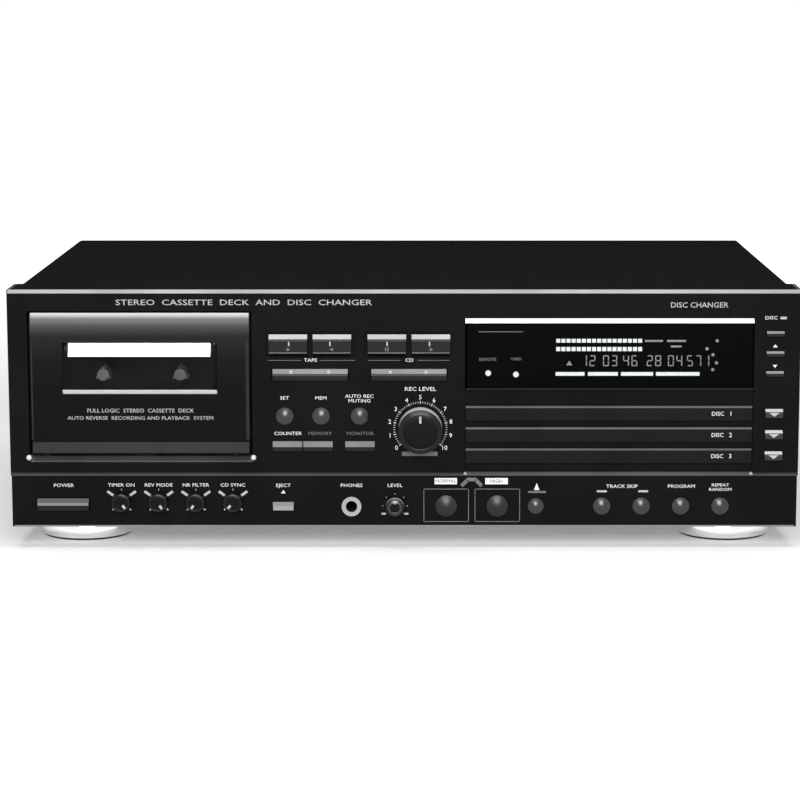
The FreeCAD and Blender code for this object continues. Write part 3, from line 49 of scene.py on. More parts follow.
# Places are in millimetres: x from the middle, y from the front to the rear, z up from the floor.
PANEL_FACE = -139.0
STRIP_FACE = -138.5
TRAY_FACE = -139.8
PANE_FACE = -140.6
DOOR_GLASS_FACE = -141.4
REAR_FACE = 147.0
SOCKET_FACE = 148.9
PANEL_HALF = 217.5
CASE_HALF = 215.5
PANEL_TOP = 144.0
TOP_BEVEL = 1.9
PANEL_DEEP = 29.5
DOOR_LOW, DOOR_TOP = 53.1, 131.1
CROWN_Z, CROWN_RADIUS = 118.4, 37.0
DOOR_LEFT, DOOR_RIGHT = -205.4, -84.8
WELL_LEFT, WELL_RIGHT = -206.6, -83.6
SILL_LOW, SILL_HIGH = 48.5, 51.5
LEDGE_LOW, LEDGE_TOP = 40.7, 42.9
KEY_BEVEL_DEEP = 1.4
KEY_FLANGE = 1.2
KEY_BODY_DEEP = 4.9
KEY_DOME = 1.8
ROCKER_Z, ROCKER_HALF, ROCKER_BEVEL = 97.3, 3.05, 3.6
LEVEL_X, LEVEL_Z = 8.9, 67.4
LEVEL_KNOB_DEEP, SMALL_KNOB_DEEP = 14.7, 5.7
PHONES_X = -5.2
STRIP_Z = 23.7
SELECTOR_Z = 26.4
TRAY_LOWS = (71.78, 59.94, 48.1)
TRAY_TALL = 8.0
MODULE_CORNERS = (33.6, 191.6)
PRINT_THICK = 0.04
TRIM_THICK = 0.12
LABEL_WIDE = 1.22

KEY_BEVELS = {"transport_key": 3.6, "bar_key": 3.0, "side_key": 1.6, "open_key": 2.6,
              "eject_key": 1.8, "power_key": 2.2}
ROUND_KEYS = {"round_key_1": 9.7, "round_key_2": 9.7, "round_key_3": 9.7, "dub_key_1": 12.0,
              "dub_key_2": 12.0, "search_key": 8.8, "lower_key_1": 9.6, "lower_key_2": 9.6,
              "lower_key_3": 9.6, "lower_key_4": 9.6}
# Radius of each knob, and how far its mark is turned clockwise from the top at rest.
KNOBS = {"level_knob": (12.0, 0), "phones_knob": (5.0, 0),
         "selector_knob_1": (5.0, 140), "selector_knob_2": (5.0, 145),
         "selector_knob_3": (5.0, -145), "selector_knob_4": (5.0, -140)}
SELECTOR_XS = (-156.4, -135.85, -115.3, -94.75)
DUB_FRAMES = ((10.6, 35.7, 14.7, 33.4), (38.9, 64.0, 14.7, 33.4))
STUD_Z = 50.9
JACK_BORE, JACK_DEEP = 3.18, 29.0
FEET = ((-181.0, -94.0), (181.0, -94.0), (-181.0, 107.0), (181.0, 107.0))
SIDE_SCREWS = ((-70.0, 28.0), (110.0, 28.0))
REAR_SCREWS = ((-205, 134), (-70, 136), (70, 136), (205, 134), (-205, 20), (205, 20), (-70, 20),
               (70, 20))
PHONO_XS, PHONO_ZS = (-53.1, -39.1), (50.0, 64.0)

# Words on the front: text, middle x, middle z, height of the capitals, face that carries them.
LABELS = {
    "power_word": ("POWER", -188.3, 35.2, 1.9, STRIP_FACE),
    "timer_word": ("TIMER ON", -156.4, 35.4, 1.9, STRIP_FACE),
    "mode_word": ("REV MODE", -135.85, 35.4, 1.9, STRIP_FACE),
    "filter_word": ("NR FILTER", -115.3, 35.4, 1.9, STRIP_FACE),
    "sync_word": ("CD SYNC", -94.75, 35.4, 1.9, STRIP_FACE),
    "eject_word": ("EJECT", -66.9, 35.2, 1.9, STRIP_FACE),
    "phones_word": ("PHONES", -29.2, 35.2, 1.9, STRIP_FACE),
    "phones_level_word": ("LEVEL", PHONES_X, 35.2, 1.9, STRIP_FACE),
    "skip_word": ("TRACK SKIP", 120.3, 34.7, 1.9, STRIP_FACE),
    "program_word": ("PROGRAM", 153.2, 34.7, 1.9, STRIP_FACE),
    "repeat_word": ("REPEAT", 174.7, 35.4, 1.7, STRIP_FACE),
    "random_word": ("RANDOM", 174.7, 32.9, 1.7, STRIP_FACE),
    "level_word": ("REC LEVEL", LEVEL_X, 89.2, 2.2, PANEL_FACE),
    "counter_set_word": ("SET", -65.8, 84.2, 1.9, PANEL_FACE),
    "memory_word": ("MEM", -45.8, 84.2, 1.9, PANEL_FACE),
    "record_word": ("AUTO REC", -24.6, 85.2, 1.9, PANEL_FACE),
    "mute_word": ("MUTING", -24.6, 82.6, 1.9, PANEL_FACE),
    "counter_word": ("COUNTER", -64.1, 64.4, 1.9, PANEL_FACE),
    "tape_word": ("TAPE", -51.3, 105.2, 1.9, PANEL_FACE),
    "disc_word": ("CD", 2.9, 105.2, 1.9, PANEL_FACE),
    "open_word": ("DISC", 201.0, 128.6, 1.9, PANEL_FACE),
}
# Words on the rear panel: text, middle x, middle z.
REAR_LABELS = {
    "rear_out_word": ("OUT", -53.1, 74.5),
    "rear_in_word": ("IN", -39.1, 74.5),
    "rear_left_word": ("L", -27.5, 64.0),
    "rear_right_word": ("R", -27.5, 50.0),
    "rear_line_word": ("LINE", -46.1, 39.0),
    "rear_mains_word": ("AC IN", -187.5, 44.0),
}
# Fainter words on the front, given as in LABELS.
FAINT_LABELS = {
    "counter_memory_word": ("MEMORY", -46.4, 64.4, 1.9, PANEL_FACE),
    "monitor_word": ("MONITOR", -24.3, 64.4, 1.9, PANEL_FACE),
}


def shade_node(tree, kind, **settings):
    """Add a shader node and fill in its named sockets, with spaces written as underscores."""
    node = tree.nodes.new(kind)
    for name, value in settings.items():
        node.inputs[name.replace("_", " ")].default_value = value
    return node


def grey(value):
    """A neutral colour."""
    return (value, value, value)


def drifting_tones(tree, coordinates, dark, light, patch):
    """Two close tones that drift into each other over patches of the given size in metres."""
    drift = shade_node(tree, "ShaderNodeTexNoise", Scale=1.0 / patch, Detail=2.0)
    ramp = tree.nodes.new("ShaderNodeValToRGB")
    ramp.color_ramp.elements[0].position = 0.35
    ramp.color_ramp.elements[0].color = (*dark, 1.0)
    ramp.color_ramp.elements[1].position = 0.65
    ramp.color_ramp.elements[1].color = (*light, 1.0)
    tree.links.new(coordinates.outputs["Object"], drift.inputs["Vector"])
    tree.links.new(drift.outputs["Fac"], ramp.inputs["Fac"])
    return ramp.outputs["Color"]


def make_finish(name, dark, light, gloss, metal=0.0, level=0.5, patch=0.03, grain=0.0006,
                relief=0.00001, stretch=(1.0, 1.0, 1.0), clear=0.0, bend=1.45, glow=0.0):
    """A surface with two drifting tones, and one grain in its gloss and in its shallow relief."""
    finish = bpy.data.materials.new(name)
    finish.use_nodes = True
    tree = finish.node_tree
    shader = tree.nodes["Principled BSDF"]
    shader.inputs["Metallic"].default_value = metal
    shader.inputs["Specular IOR Level"].default_value = level
    shader.inputs["Transmission Weight"].default_value = clear
    shader.inputs["IOR"].default_value = bend
    shader.inputs["Emission Strength"].default_value = glow
    coordinates = tree.nodes.new("ShaderNodeTexCoord")
    tones = drifting_tones(tree, coordinates, dark, light, patch)
    tree.links.new(tones, shader.inputs["Base Color"])
    if glow:
        tree.links.new(tones, shader.inputs["Emission Color"])
    lay = shade_node(tree, "ShaderNodeMapping", Scale=stretch)
    tree.links.new(coordinates.outputs["Object"], lay.inputs["Vector"])
    speckle = shade_node(tree, "ShaderNodeTexNoise", Scale=1.0 / grain, Detail=3.0)
    tree.links.new(lay.outputs["Vector"], speckle.inputs["Vector"])
    roughness = shade_node(tree, "ShaderNodeMapRange", To_Min=gloss * 0.8,
                           To_Max=min(1.0, gloss * 1.2))
    tree.links.new(speckle.outputs["Fac"], roughness.inputs["Value"])
    tree.links.new(roughness.outputs["Result"], shader.inputs["Roughness"])
    if relief:
        bump = shade_node(tree, "ShaderNodeBump", Strength=0.5, Distance=relief)
        tree.links.new(speckle.outputs["Fac"], bump.inputs["Height"])
        tree.links.new(bump.outputs["Normal"], shader.inputs["Normal"])
    return finish


def make_satin(name, dark, light, gloss=0.34, metal=0.5, level=0.5):
    """A neutral satin surface whose grain runs along the part, from side to side, toned to paint a
    highlight.
    """
    return make_finish(name, grey(dark), grey(light), gloss, metal=metal, level=level, grain=0.0003,
                       stretch=(0.05, 1.0, 1.0))


def make_print(name, dark, light):
    """A neutral printing ink."""
    return make_finish(name, grey(dark), grey(light), 0.6, grain=0.0003, patch=0.004)


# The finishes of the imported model's slots.
FINISHES = {
    "panel_black": make_finish("panel_black", grey(0.0036), grey(0.005), 0.42, level=0.05,
                               grain=0.0004),
    "cover_black": make_finish("cover_black", grey(0.0108), grey(0.0124), 0.8, level=0.0,
                               grain=0.0008, relief=0.00005, patch=0.012),
    "door_black": make_finish("door_black", grey(0.003), grey(0.004), 0.22, level=0.07,
                              grain=0.0004, relief=0.000003),
    "smoked_window": make_finish("smoked_window", grey(0.42), grey(0.46), 0.04, relief=0.0,
                                 clear=1.0, bend=1.12),
    "tray_black": make_finish("tray_black", grey(0.004), grey(0.0055), 0.4, level=0.1,
                              grain=0.0005),
    "key_black": make_finish("key_black", grey(0.006), grey(0.008), 0.3, level=0.2, grain=0.0005),
    "key_silver": make_finish("key_silver", grey(0.016), grey(0.02), 0.35, metal=0.3, grain=0.0004),
    "knob_black": make_finish("knob_black", grey(0.003), grey(0.0045), 0.32, level=0.1,
                              grain=0.0005),
    "holder_plastic": make_finish("holder_plastic", grey(0.016), grey(0.022), 0.5, grain=0.0008),
    "deck_plastic": make_finish("deck_plastic", grey(0.018), grey(0.024), 0.55, grain=0.001,
                                relief=0.00003),
    "hub_plastic": make_finish("hub_plastic", grey(0.42), grey(0.5), 0.4, grain=0.0006),
    "polished_steel": make_finish("polished_steel", grey(0.55), grey(0.62), 0.16, metal=1.0,
                                  grain=0.0003),
    "zinc_steel": make_finish("zinc_steel", (0.5, 0.5, 0.47), (0.62, 0.62, 0.6), 0.36, metal=1.0,
                              patch=0.006),
    "transformer_steel": make_finish("transformer_steel", grey(0.2), grey(0.26), 0.45, metal=0.9,
                                     grain=0.0005, stretch=(1.0, 1.0, 12.0), relief=0.00004),
    "board_green": make_finish("board_green", (0.012, 0.06, 0.03), (0.02, 0.085, 0.045), 0.4,
                               patch=0.004),
    "socket_black": make_finish("socket_black", grey(0.012), grey(0.018), 0.45, grain=0.0007),
    "jack_chrome": make_finish("jack_chrome", grey(0.4), grey(0.5), 0.2, metal=1.0, grain=0.0004),
    "foot_black": make_finish("foot_black", grey(0.015), grey(0.022), 0.6, grain=0.001,
                              relief=0.00004),
}
# The finishes of the trim, most of whose tones are painted highlights, the turned keys and knobs,
# and the prints.
# Satin strips for bevels and edges, brightest to dimmest: painted highlights, each tone set to the
# light that strip catches.
PAINTED_HIGHLIGHT_BRIGHT = make_satin("painted_highlight_bright", 0.6, 0.68, 0.3)
PAINTED_HIGHLIGHT_PALE = make_satin("painted_highlight_pale", 0.36, 0.43, 0.32)
PAINTED_HIGHLIGHT_WHITE = make_satin("painted_highlight_white", 0.9, 0.96, 0.3)
PAINTED_HIGHLIGHT_SOFT = make_satin("painted_highlight_soft", 0.14, 0.175)
PAINTED_HIGHLIGHT_LINE = make_satin("satin_line", 0.18, 0.23)
PAINTED_HIGHLIGHT_GREY = make_satin("painted_highlight_grey", 0.068, 0.09, level=0.3)
PAINTED_HIGHLIGHT_DARK = make_satin("painted_highlight_dark", 0.06, 0.075, metal=0.4, level=0.2)
# Pale greys for the eject and power keys' faces and the panel's foot: painted highlights.
KEY_PAINTED_HIGHLIGHT_GREY = make_satin("key_grey", 0.17, 0.21, 0.4, metal=0.0)
KEY_PAINTED_HIGHLIGHT_PALE = make_satin("key_pale", 0.24, 0.3, 0.4, metal=0.0)
DISPLAY_PANE = make_finish("display_pane", grey(0.03), grey(0.036), 0.05, relief=0.0, clear=1.0,
                           bend=1.12)
GLOSS_RIM = make_finish("gloss_rim", grey(0.006), grey(0.009), 0.25, level=0.2, grain=0.0004,
                        relief=0.000002)
# A pale finish for the knobs' sides: a painted highlight of their lit upper side.
KNOB_SIDE_PAINTED_HIGHLIGHT = make_finish("knob_side", grey(0.62), grey(0.7), 0.35, metal=0.2, level=0.3,
                        grain=0.0003, stretch=(1.0, 0.05, 1.0))
# A darkened steel for the head carriage: painted shade where it shows through the gap under the
# door.
PAINTED_SHADE_STEEL = make_finish("painted_shade_steel", grey(0.03), grey(0.04), 0.4, metal=0.6, level=0.2,
                         patch=0.006)
GLOSS_KEY = make_finish("gloss_key", grey(0.003), grey(0.005), 0.26, level=0.88, grain=0.0004,
                        relief=0.000002)
SOFT_KEY = make_finish("soft_key", grey(0.003), grey(0.004), 0.34, level=0.5, grain=0.0004,
                       relief=0.000002)
# The door crown's finish, lightened towards the top below: a painted highlight.
CROWN_PAINTED_HIGHLIGHT = make_finish("crown_sheen", grey(0.003), grey(0.004), 0.22, level=0.1, grain=0.0004,
                          relief=0.000003)
# A lighter grey for the door's lower band and side lines: painted highlights.
BAND_PAINTED_HIGHLIGHT = make_finish("band_painted_highlight", grey(0.014), grey(0.018), 0.35, level=0.15, grain=0.0004)
FOOT_RING = make_finish("foot_ring", grey(0.94), grey(0.98), 0.07, metal=1.0, grain=0.0003,
                        relief=0.000001)
SCREW_BLACK = make_finish("screw_black", grey(0.03), grey(0.045), 0.3, metal=0.7, grain=0.0002)
BRASS = make_finish("socket_brass", (0.62, 0.46, 0.2), (0.72, 0.55, 0.26), 0.25, metal=1.0,
                    grain=0.0003)
RED_RING = make_finish("red_ring", (0.32, 0.02, 0.015), (0.4, 0.03, 0.02), 0.4)
WHITE_RING = make_finish("white_ring", grey(0.6), grey(0.68), 0.4)
PRINT = make_print("white_print", 0.38, 0.46)
BOLD_PRINT = make_print("bold_print", 0.7, 0.78)
FAINT_PRINT = make_print("faint_print", 0.1, 0.14)
DARK_PRINT = make_print("dark_print", 0.01, 0.014)
LIT = make_finish("lit_segment", (0.42, 0.47, 0.45), (0.5, 0.56, 0.54), 0.4, patch=0.002,
                  glow=0.35)
DIM = make_finish("dim_segment", (0.12, 0.14, 0.135), (0.17, 0.19, 0.185), 0.4, patch=0.002,
                  glow=0.2)
LAMP = make_finish("indicator_lens", grey(0.5), grey(0.6), 0.2, patch=0.001, glow=0.2)


def dress_nodes():
    """Give every node of the model its finish, by the name of its slot."""
    for node in NODES.values():
        for place in node.material_slots:
            place.material = FINISHES[place.material.name.split(".")[0]]
    # The display window gets its own pane; the head carriage is darkened as painted shade for the
    # gap under the door.
    for name, finish in (("display_window", DISPLAY_PANE), ("head_carriage", PAINTED_SHADE_STEEL)):
        for place in NODES[name].material_slots:
            place.material = finish


def place_of(name):
    """The lowest and highest corner of a node in millimetres."""
    low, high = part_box(name)
    return low / MM, high / MM


def middle_of(name):
    """The x and z of a node's middle in millimetres."""
    low, high = place_of(name)
    return (low.x + high.x) / 2, (low.z + high.z) / 2


def add_mesh(name, mesh, finish, body):
    """Put a mesh that is already in its place into the scene, to ride on a body."""
    mesh.materials.clear()
    mesh.materials.append(finish)
    piece = bpy.data.objects.new(name, mesh)
    bpy.context.scene.collection.objects.link(piece)
    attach(piece, body)
    return piece


def add_piece(name, shape, finish, body="unit", replaced=(), rounded=0):
    """Make a shape in millimetres an object that rides on a body, smooth below an angle."""
    mesh = bpy.data.meshes.new(name)
    bmesh.ops.transform(shape, matrix=Matrix.Scale(MM, 4), verts=shape.verts)
    shape.to_mesh(mesh)
    shape.free()
    if rounded:
        mesh.shade_smooth()
        mesh.set_sharp_from_angle(angle=math.radians(rounded))
    piece = add_mesh(name, mesh, finish, body)
    if replaced:
        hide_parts(*replaced)
    return piece


def add_block(shape, low, high, edge=0.0, segments=2):
    """Add a box between two corners, with its edges eased."""
    low = Vector(low)
    high = Vector(high)
    corners = bmesh.ops.create_cube(shape, size=1.0)["verts"]
    bmesh.ops.scale(shape, vec=high - low, verts=corners)
    bmesh.ops.translate(shape, vec=(low + high) / 2, verts=corners)
    if edge:
        edges = list({line for corner in corners for line in corner.link_edges})
        bmesh.ops.bevel(shape, geom=edges, offset=edge, segments=segments, profile=0.5,
                        affect="EDGES", material=-1)


def add_slope(shape, left, right, front, back, thick=TRIM_THICK, mitre=0.0):
    """Add a thin plate on a sloping border that runs from one edge (y, z) to another."""
    corners = [shape.verts.new((left, *front)), shape.verts.new((right, *front)),
               shape.verts.new((right - mitre, *back)), shape.verts.new((left + mitre, *back))]
    face = shape.faces.new(corners)
    face.normal_update()
    out = face.normal * (-thick if face.normal.y > 0 else thick)
    grown = bmesh.ops.extrude_face_region(shape, geom=[face])["geom"]
    raised = [part for part in grown if isinstance(part, bmesh.types.BMVert)]
    bmesh.ops.translate(shape, vec=out, verts=raised)
    bmesh.ops.recalc_face_normals(shape, faces=shape.faces)


def add_turned(shape, profile, x, z, steps=64):
    """Spin a profile of (radius, y) points once about the line along y through (x, z)."""
    points = [shape.verts.new((x + radius, y, z)) for radius, y in profile]
    lines = [shape.edges.new(pair) for pair in zip(points, points[1:])]
    bmesh.ops.spin(shape, geom=points + lines, cent=(x, 0, z), axis=(0, 1, 0), dvec=(0, 0, 0),
                   angle=math.tau, steps=steps, use_merge=True)
    bmesh.ops.remove_doubles(shape, verts=shape.verts, dist=0.0001)
    bmesh.ops.recalc_face_normals(shape, faces=shape.faces)


def add_triangle(shape, x, z, wide, tall, face, turn):
    """Add a thin printed triangle that points up, turned clockwise by an angle in degrees."""
    rim = bmesh.ops.create_cone(shape, cap_ends=True, segments=3, radius1=1.0, radius2=1.0,
                                depth=PRINT_THICK)["verts"]
    bmesh.ops.rotate(shape, matrix=Matrix.Rotation(math.radians(90), 3, "X"), verts=rim)
    bmesh.ops.scale(shape, vec=(wide / 1.732, 1.0, tall / 1.5), verts=rim)
    bmesh.ops.rotate(shape, matrix=Matrix.Rotation(math.radians(turn), 3, "Y"), verts=rim)
    bmesh.ops.translate(shape, vec=(x, face - PRINT_THICK / 2, z), verts=rim)


def add_words(name, words, x, z, tall, face=PANEL_FACE, finish=PRINT, body="unit", wide=1.0,
              turn=0):
    """Print words on a face that looks forward, or rearward with half a turn, centred on (x, z)."""
    curve = bpy.data.curves.new(name, "FONT")
    curve.body = words
    curve.size = tall * 1.4
    curve.align_x = "CENTER"
    curve.align_y = "CENTER"
    curve.resolution_u = 2
    curve.extrude = PRINT_THICK / 2
    carrier = bpy.data.objects.new(name, curve)
    bpy.context.scene.collection.objects.link(carrier)
    bpy.context.view_layer.update()
    mesh = bpy.data.meshes.new_from_object(carrier)
    bpy.data.objects.remove(carrier)
    mesh.transform(Matrix.Diagonal((wide, 1.0, 1.0, 1.0)))
    upright = Matrix.Rotation(math.radians(90), 4, "X")
    mesh.transform(Matrix.Rotation(math.radians(turn), 4, "Z") @ upright)
    mesh.transform(Matrix.Translation((x, face - PRINT_THICK / 2, z)))
    mesh.transform(Matrix.Scale(MM, 4))
    return add_mesh(name, mesh, finish, body)


def add_bars(name, bars, finish, face=PANEL_FACE, body="unit", thick=PRINT_THICK):
    """Lay thin bars, each given by left, right, low and high, on a face that looks forward."""
    shape = bmesh.new()
    for left, right, low, high in bars:
        add_block(shape, (left, face - thick, low), (right, face, high))
    return add_piece(name, shape, finish, body)


def add_dots(name, dots, radius, finish, face=PANEL_FACE, body="unit", proud=PRINT_THICK, sides=16):
    """Lay small round dots on a face that looks forward."""
    shape = bmesh.new()
    for x, z in dots:
        rim = bmesh.ops.create_cone(shape, cap_ends=True, segments=sides, radius1=radius,
                                    radius2=radius * 0.9, depth=proud)["verts"]
        bmesh.ops.rotate(shape, matrix=Matrix.Rotation(math.radians(90), 3, "X"), verts=rim)
        bmesh.ops.translate(shape, vec=(x, face - proud / 2, z), verts=rim)
    return add_piece(name, shape, finish, body)


def add_turned_bar(shape, low, high, turn, x, z):
    """Add a box between two corners, turn it clockwise by radians and move it to (x, z)."""
    before = set(shape.verts)
    add_block(shape, low, high)
    bar = [corner for corner in shape.verts if corner not in before]
    bmesh.ops.rotate(shape, matrix=Matrix.Rotation(turn, 3, "Y"), verts=bar)
    bmesh.ops.translate(shape, vec=(x, 0, z), verts=bar)


def add_ticks(shape, x, z, inner, outer, angles, wide, face):
    """Add short radial bars round a point, at angles in degrees clockwise from the top."""
    for angle in angles:
        add_turned_bar(shape, (-wide / 2, face - PRINT_THICK, inner), (wide / 2, face, outer),
                       math.radians(angle), x, z)


def add_stroke(shape, start, end, wide, face):
    """Add a thin printed bar from one point (x, z) to another."""
    long = math.dist(start, end)
    rise = math.atan2(end[1] - start[1], end[0] - start[0])
    add_turned_bar(shape, (-long / 2, face - PRINT_THICK, -wide / 2), (long / 2, face, wide / 2),
                   -rise, (start[0] + end[0]) / 2, (start[1] + end[1]) / 2)


def point_on_ring(x, z, radius, angle):
    """A point round a middle, at an angle in degrees clockwise from the top."""
    turn = math.radians(angle)
    return x + radius * math.sin(turn), z + radius * math.cos(turn)


def strip_on_key(name, bevel_tall, finish, low_share=0.0):
    """Lay a satin strip, a painted highlight, on the sloping top edge of a bar key, from a share of
    its height up.
    """
    low, high = place_of(name)
    top = high.z - (0.0 if name.startswith("skip") else KEY_FLANGE)
    front = (low.y + KEY_BEVEL_DEEP * low_share, top - bevel_tall * (1.0 - low_share))
    shape = bmesh.new()
    add_slope(shape, low.x, high.x, front, (low.y + KEY_BEVEL_DEEP, top))
    return add_piece(name + "_strip", shape, finish, name)


def dress_bar_keys():
    """Lay the bright strips, painted highlights, on the keys that have a sloping top edge, with
    pale faces painted as highlights on the eject and power keys.
    """
    for number in range(1, 5):
        strip_on_key(f"transport_key_{number}", KEY_BEVELS["transport_key"], PAINTED_HIGHLIGHT_SOFT, 0.3)
    for number in range(1, 4):
        strip_on_key(f"bar_key_{number}", KEY_BEVELS["bar_key"], PAINTED_HIGHLIGHT_GREY)
        strip_on_key(f"side_key_{number}", KEY_BEVELS["side_key"], PAINTED_HIGHLIGHT_SOFT, 0.3)
        name = f"open_key_{number}"
        strip_on_key(name, KEY_BEVELS["open_key"], PAINTED_HIGHLIGHT_PALE, 0.4)
        low = place_of(name)[0]
        mark = bmesh.new()
        add_triangle(mark, middle_of(name)[0], low.z + 3.3, 5.6, 2.2, low.y, 180)
        add_piece(name + "_mark", mark, PRINT, name)
    # The eject and power keys also get a pale face below the strip: a painted highlight.
    for name, share in (("eject_key", 1.0), ("power_key", 0.35)):
        strip_on_key(name, KEY_BEVELS[name], PAINTED_HIGHLIGHT_SOFT if name == "eject_key" else PAINTED_HIGHLIGHT_GREY)
        low, high = place_of(name)
        top = high.z - KEY_FLANGE - KEY_BEVELS[name]
        foot = low.z + KEY_FLANGE
        finish = KEY_PAINTED_HIGHLIGHT_PALE if name == "eject_key" else KEY_PAINTED_HIGHLIGHT_GREY
        add_bars(name + "_face", [(low.x + 0.2, high.x - 0.2, top - (top - foot) * share, top)],
                 finish, low.y, name)


def dress_transport_signs():
    """Print the signs of stop, play and winding on the transport keys and the fine lines of their
    bank, and paint a faint highlight along each key's lower edge.
    """
    for number, x in enumerate((-63.2, -40.6, -9.3, 13.9), 1):
        name = f"transport_key_{number}"
        low, high = place_of(name)
        add_bars(name + "_stem", [(x - 0.35, x + 0.35, 113.2, 115.6)], PRINT, low.y, name)
        # A faint line along the key's lower edge: a painted highlight.
        add_bars(name + "_line", [(low.x + 0.2, high.x - 0.2, 109.2, 109.7)], FAINT_PRINT,
                 low.y, name)
    signs = {"transport_key_1": 90, "transport_key_2": -90, "transport_key_4": 90}
    for name, turn in signs.items():
        low = place_of(name)[0]
        mark = bmesh.new()
        add_triangle(mark, middle_of(name)[0], low.z + 3.6, 2.0, 2.0, low.y, turn)
        add_piece(name + "_sign", mark, FAINT_PRINT, name)
    low = place_of("transport_key_3")[0]
    middle = middle_of("transport_key_3")[0]
    foot, top = low.z + 2.6, low.z + 4.6
    add_bars("transport_key_3_sign", [(middle - 1.0, middle - 0.3, foot, top),
                                      (middle + 0.3, middle + 1.0, foot, top)],
             FAINT_PRINT, low.y, "transport_key_3")
    add_bars("bank_lines", [(-74.8, -56.5, 105.0, 105.3), (-46.2, -27.0, 105.0, 105.3),
                            (-19.8, -2.0, 105.0, 105.3), (7.6, 24.9, 105.0, 105.3)], FAINT_PRINT)


def dress_rockers():
    """Lay the satin strip, a painted highlight, and the two end marks on each of the long rocking
    keys.
    """
    for number, marks in ((1, (-62.1, -41.4)), (2, (-7.6, 12.0))):
        name = f"skip_rocker_{number}"
        low, high = place_of(name)
        top = ROCKER_Z + ROCKER_HALF
        shape = bmesh.new()
        add_slope(shape, low.x, high.x, (low.y + KEY_BEVEL_DEEP * 0.3, top - ROCKER_BEVEL * 0.7),
                  (low.y + KEY_BEVEL_DEEP, top))
        add_piece(name + "_strip", shape, PAINTED_HIGHLIGHT_GREY, name)
        dots = bmesh.new()
        for mark in marks:
            add_slope(dots, mark - 0.8, mark + 0.8, (low.y + 0.5, top - 2.3),
                      (low.y + 1.05, top - 0.9), 0.16)
        add_piece(name + "_marks", dots, PRINT, name)


def turn_round_keys():
    """Replace the round keys with turned ones whose faces are low polished domes."""
    rounds = (1.0, 0.97, 0.93, 0.88, 0.82, 0.76, 0.7, 0.64, 0.58, 0.52, 0.46, 0.4, 0.3, 0.2, 0.1,
              0.0)
    for name, size in ROUND_KEYS.items():
        low, high = place_of(name)
        x, z = middle_of(name)
        radius = size / 2
        back = low.y + KEY_BODY_DEEP
        face = [(radius * share, low.y + KEY_DOME * share ** 1.7) for share in rounds]
        shape = bmesh.new()
        add_turned(shape, [(0, back), (radius, back), (radius, low.y + KEY_DOME + 0.15)] + face,
                   x, z, 48)
        add_block(shape, (low.x, back, low.z), (high.x, back + KEY_FLANGE, high.z), 0.2)
        add_block(shape, (x - 1.5, back + KEY_FLANGE, z - 1.5), (x + 1.5, high.y, z + 1.5), 0.2)
        finish = SOFT_KEY if name.startswith("dub") else GLOSS_KEY
        cap = add_piece(name + "_cap", shape, finish, name, (name,), rounded=35)


def turn_knobs():
    """Replace the knobs with turned ones: a skirt, a rounded rim, a dished face and a mark."""
    for name, (radius, mark_turn) in KNOBS.items():
        low, high = place_of(name)
        x, z = middle_of(name)
        back = low.y + (LEVEL_KNOB_DEEP if name == "level_knob" else SMALL_KNOB_DEEP)
        rim = radius * 0.1
        face = low.y + (0.6 if name == "phones_knob" else rim * 0.3)
        shape = bmesh.new()
        add_turned(shape, [(0, back), (radius, back), (radius, back - 1.2),
                           (radius - rim * 0.2, back - 1.5),
                           (radius - rim * 0.1, face + rim * 1.5),
                           (radius - rim * 0.9, face + rim * 0.9),
                           (radius - rim * 2.2, face + rim * 0.3),
                           (radius * 0.5, face + rim * 0.2), (0, face + rim * 0.2)], x, z, 72)
        add_block(shape, (x - 2, back, z - 2), (x + 2, high.y, z + 2), 0.3)
        cap = add_piece(name + "_cap", shape, FINISHES["knob_black"], name, (name,), rounded=35)
        ring = bmesh.new()
        add_turned(ring, [(radius - rim * 0.4, face + rim * 1.7),
                          (radius + rim * 0.1, face + rim * 1.6),
                          (radius + rim * 0.1, face + rim * 1.0),
                          (radius - rim * 0.4, face + rim * 0.5),
                          (radius - rim * 1.9, face),
                          (radius - rim * 2.2, face + rim * 0.1),
                          (radius - rim * 2.2, face + rim * 0.4),
                          (radius - rim * 0.4, face + rim * 1.7)], x, z, 72)
        add_piece(name + "_rim", ring, GLOSS_RIM, name, rounded=12)
        add_pointer(name, low.y, radius, mark_turn)
        if name == "phones_knob":
            crest = bmesh.new()
            add_turned(crest, [(2.7, low.y + 1.2), (4.0, low.y + 1.2), (4.0, low.y + 0.62),
                               (2.8, low.y + 0.16), (2.7, low.y + 0.2), (2.7, low.y + 1.2)],
                       x, z, 48)
            add_piece("phones_knob_crest", crest, GLOSS_KEY, name, rounded=12)
        if name.startswith("selector"):
            continue
        # A pale sleeve round the knob's side: a painted highlight.
        sleeve = bmesh.new()
        front = face + rim * 1.6
        add_turned(sleeve, [(radius - 0.1, back - 1.6), (radius + 0.05, back - 1.7),
                            (radius + 0.05, front + 0.2), (radius - 0.1, front),
                            (radius - 0.1, back - 1.6)], x, z, 72)
        add_piece(name + "_sleeve", sleeve, KNOB_SIDE_PAINTED_HIGHLIGHT, name, rounded=12)


def add_pointer(name, front, radius, mark_turn):
    """Set the pale mark into a knob's face: a line at the top, or a short bar if it is turned."""
    x, z = middle_of(name)
    pointer = bmesh.new()
    if mark_turn:
        add_block(pointer, (-0.7, front, 1.6), (0.7, front + 0.9, 3.9), 0.2)
    else:
        add_block(pointer, (-radius * 0.05, front, radius * 0.42),
                  (radius * 0.05, front + 0.9, radius * 0.74), 0.08)
    turn = Matrix.Rotation(math.radians(mark_turn), 3, "Y")
    bmesh.ops.rotate(pointer, matrix=turn, verts=pointer.verts)
    bmesh.ops.translate(pointer, vec=(x, 0, z), verts=pointer.verts)
    add_piece(name + "_pointer", pointer, PRINT, name)


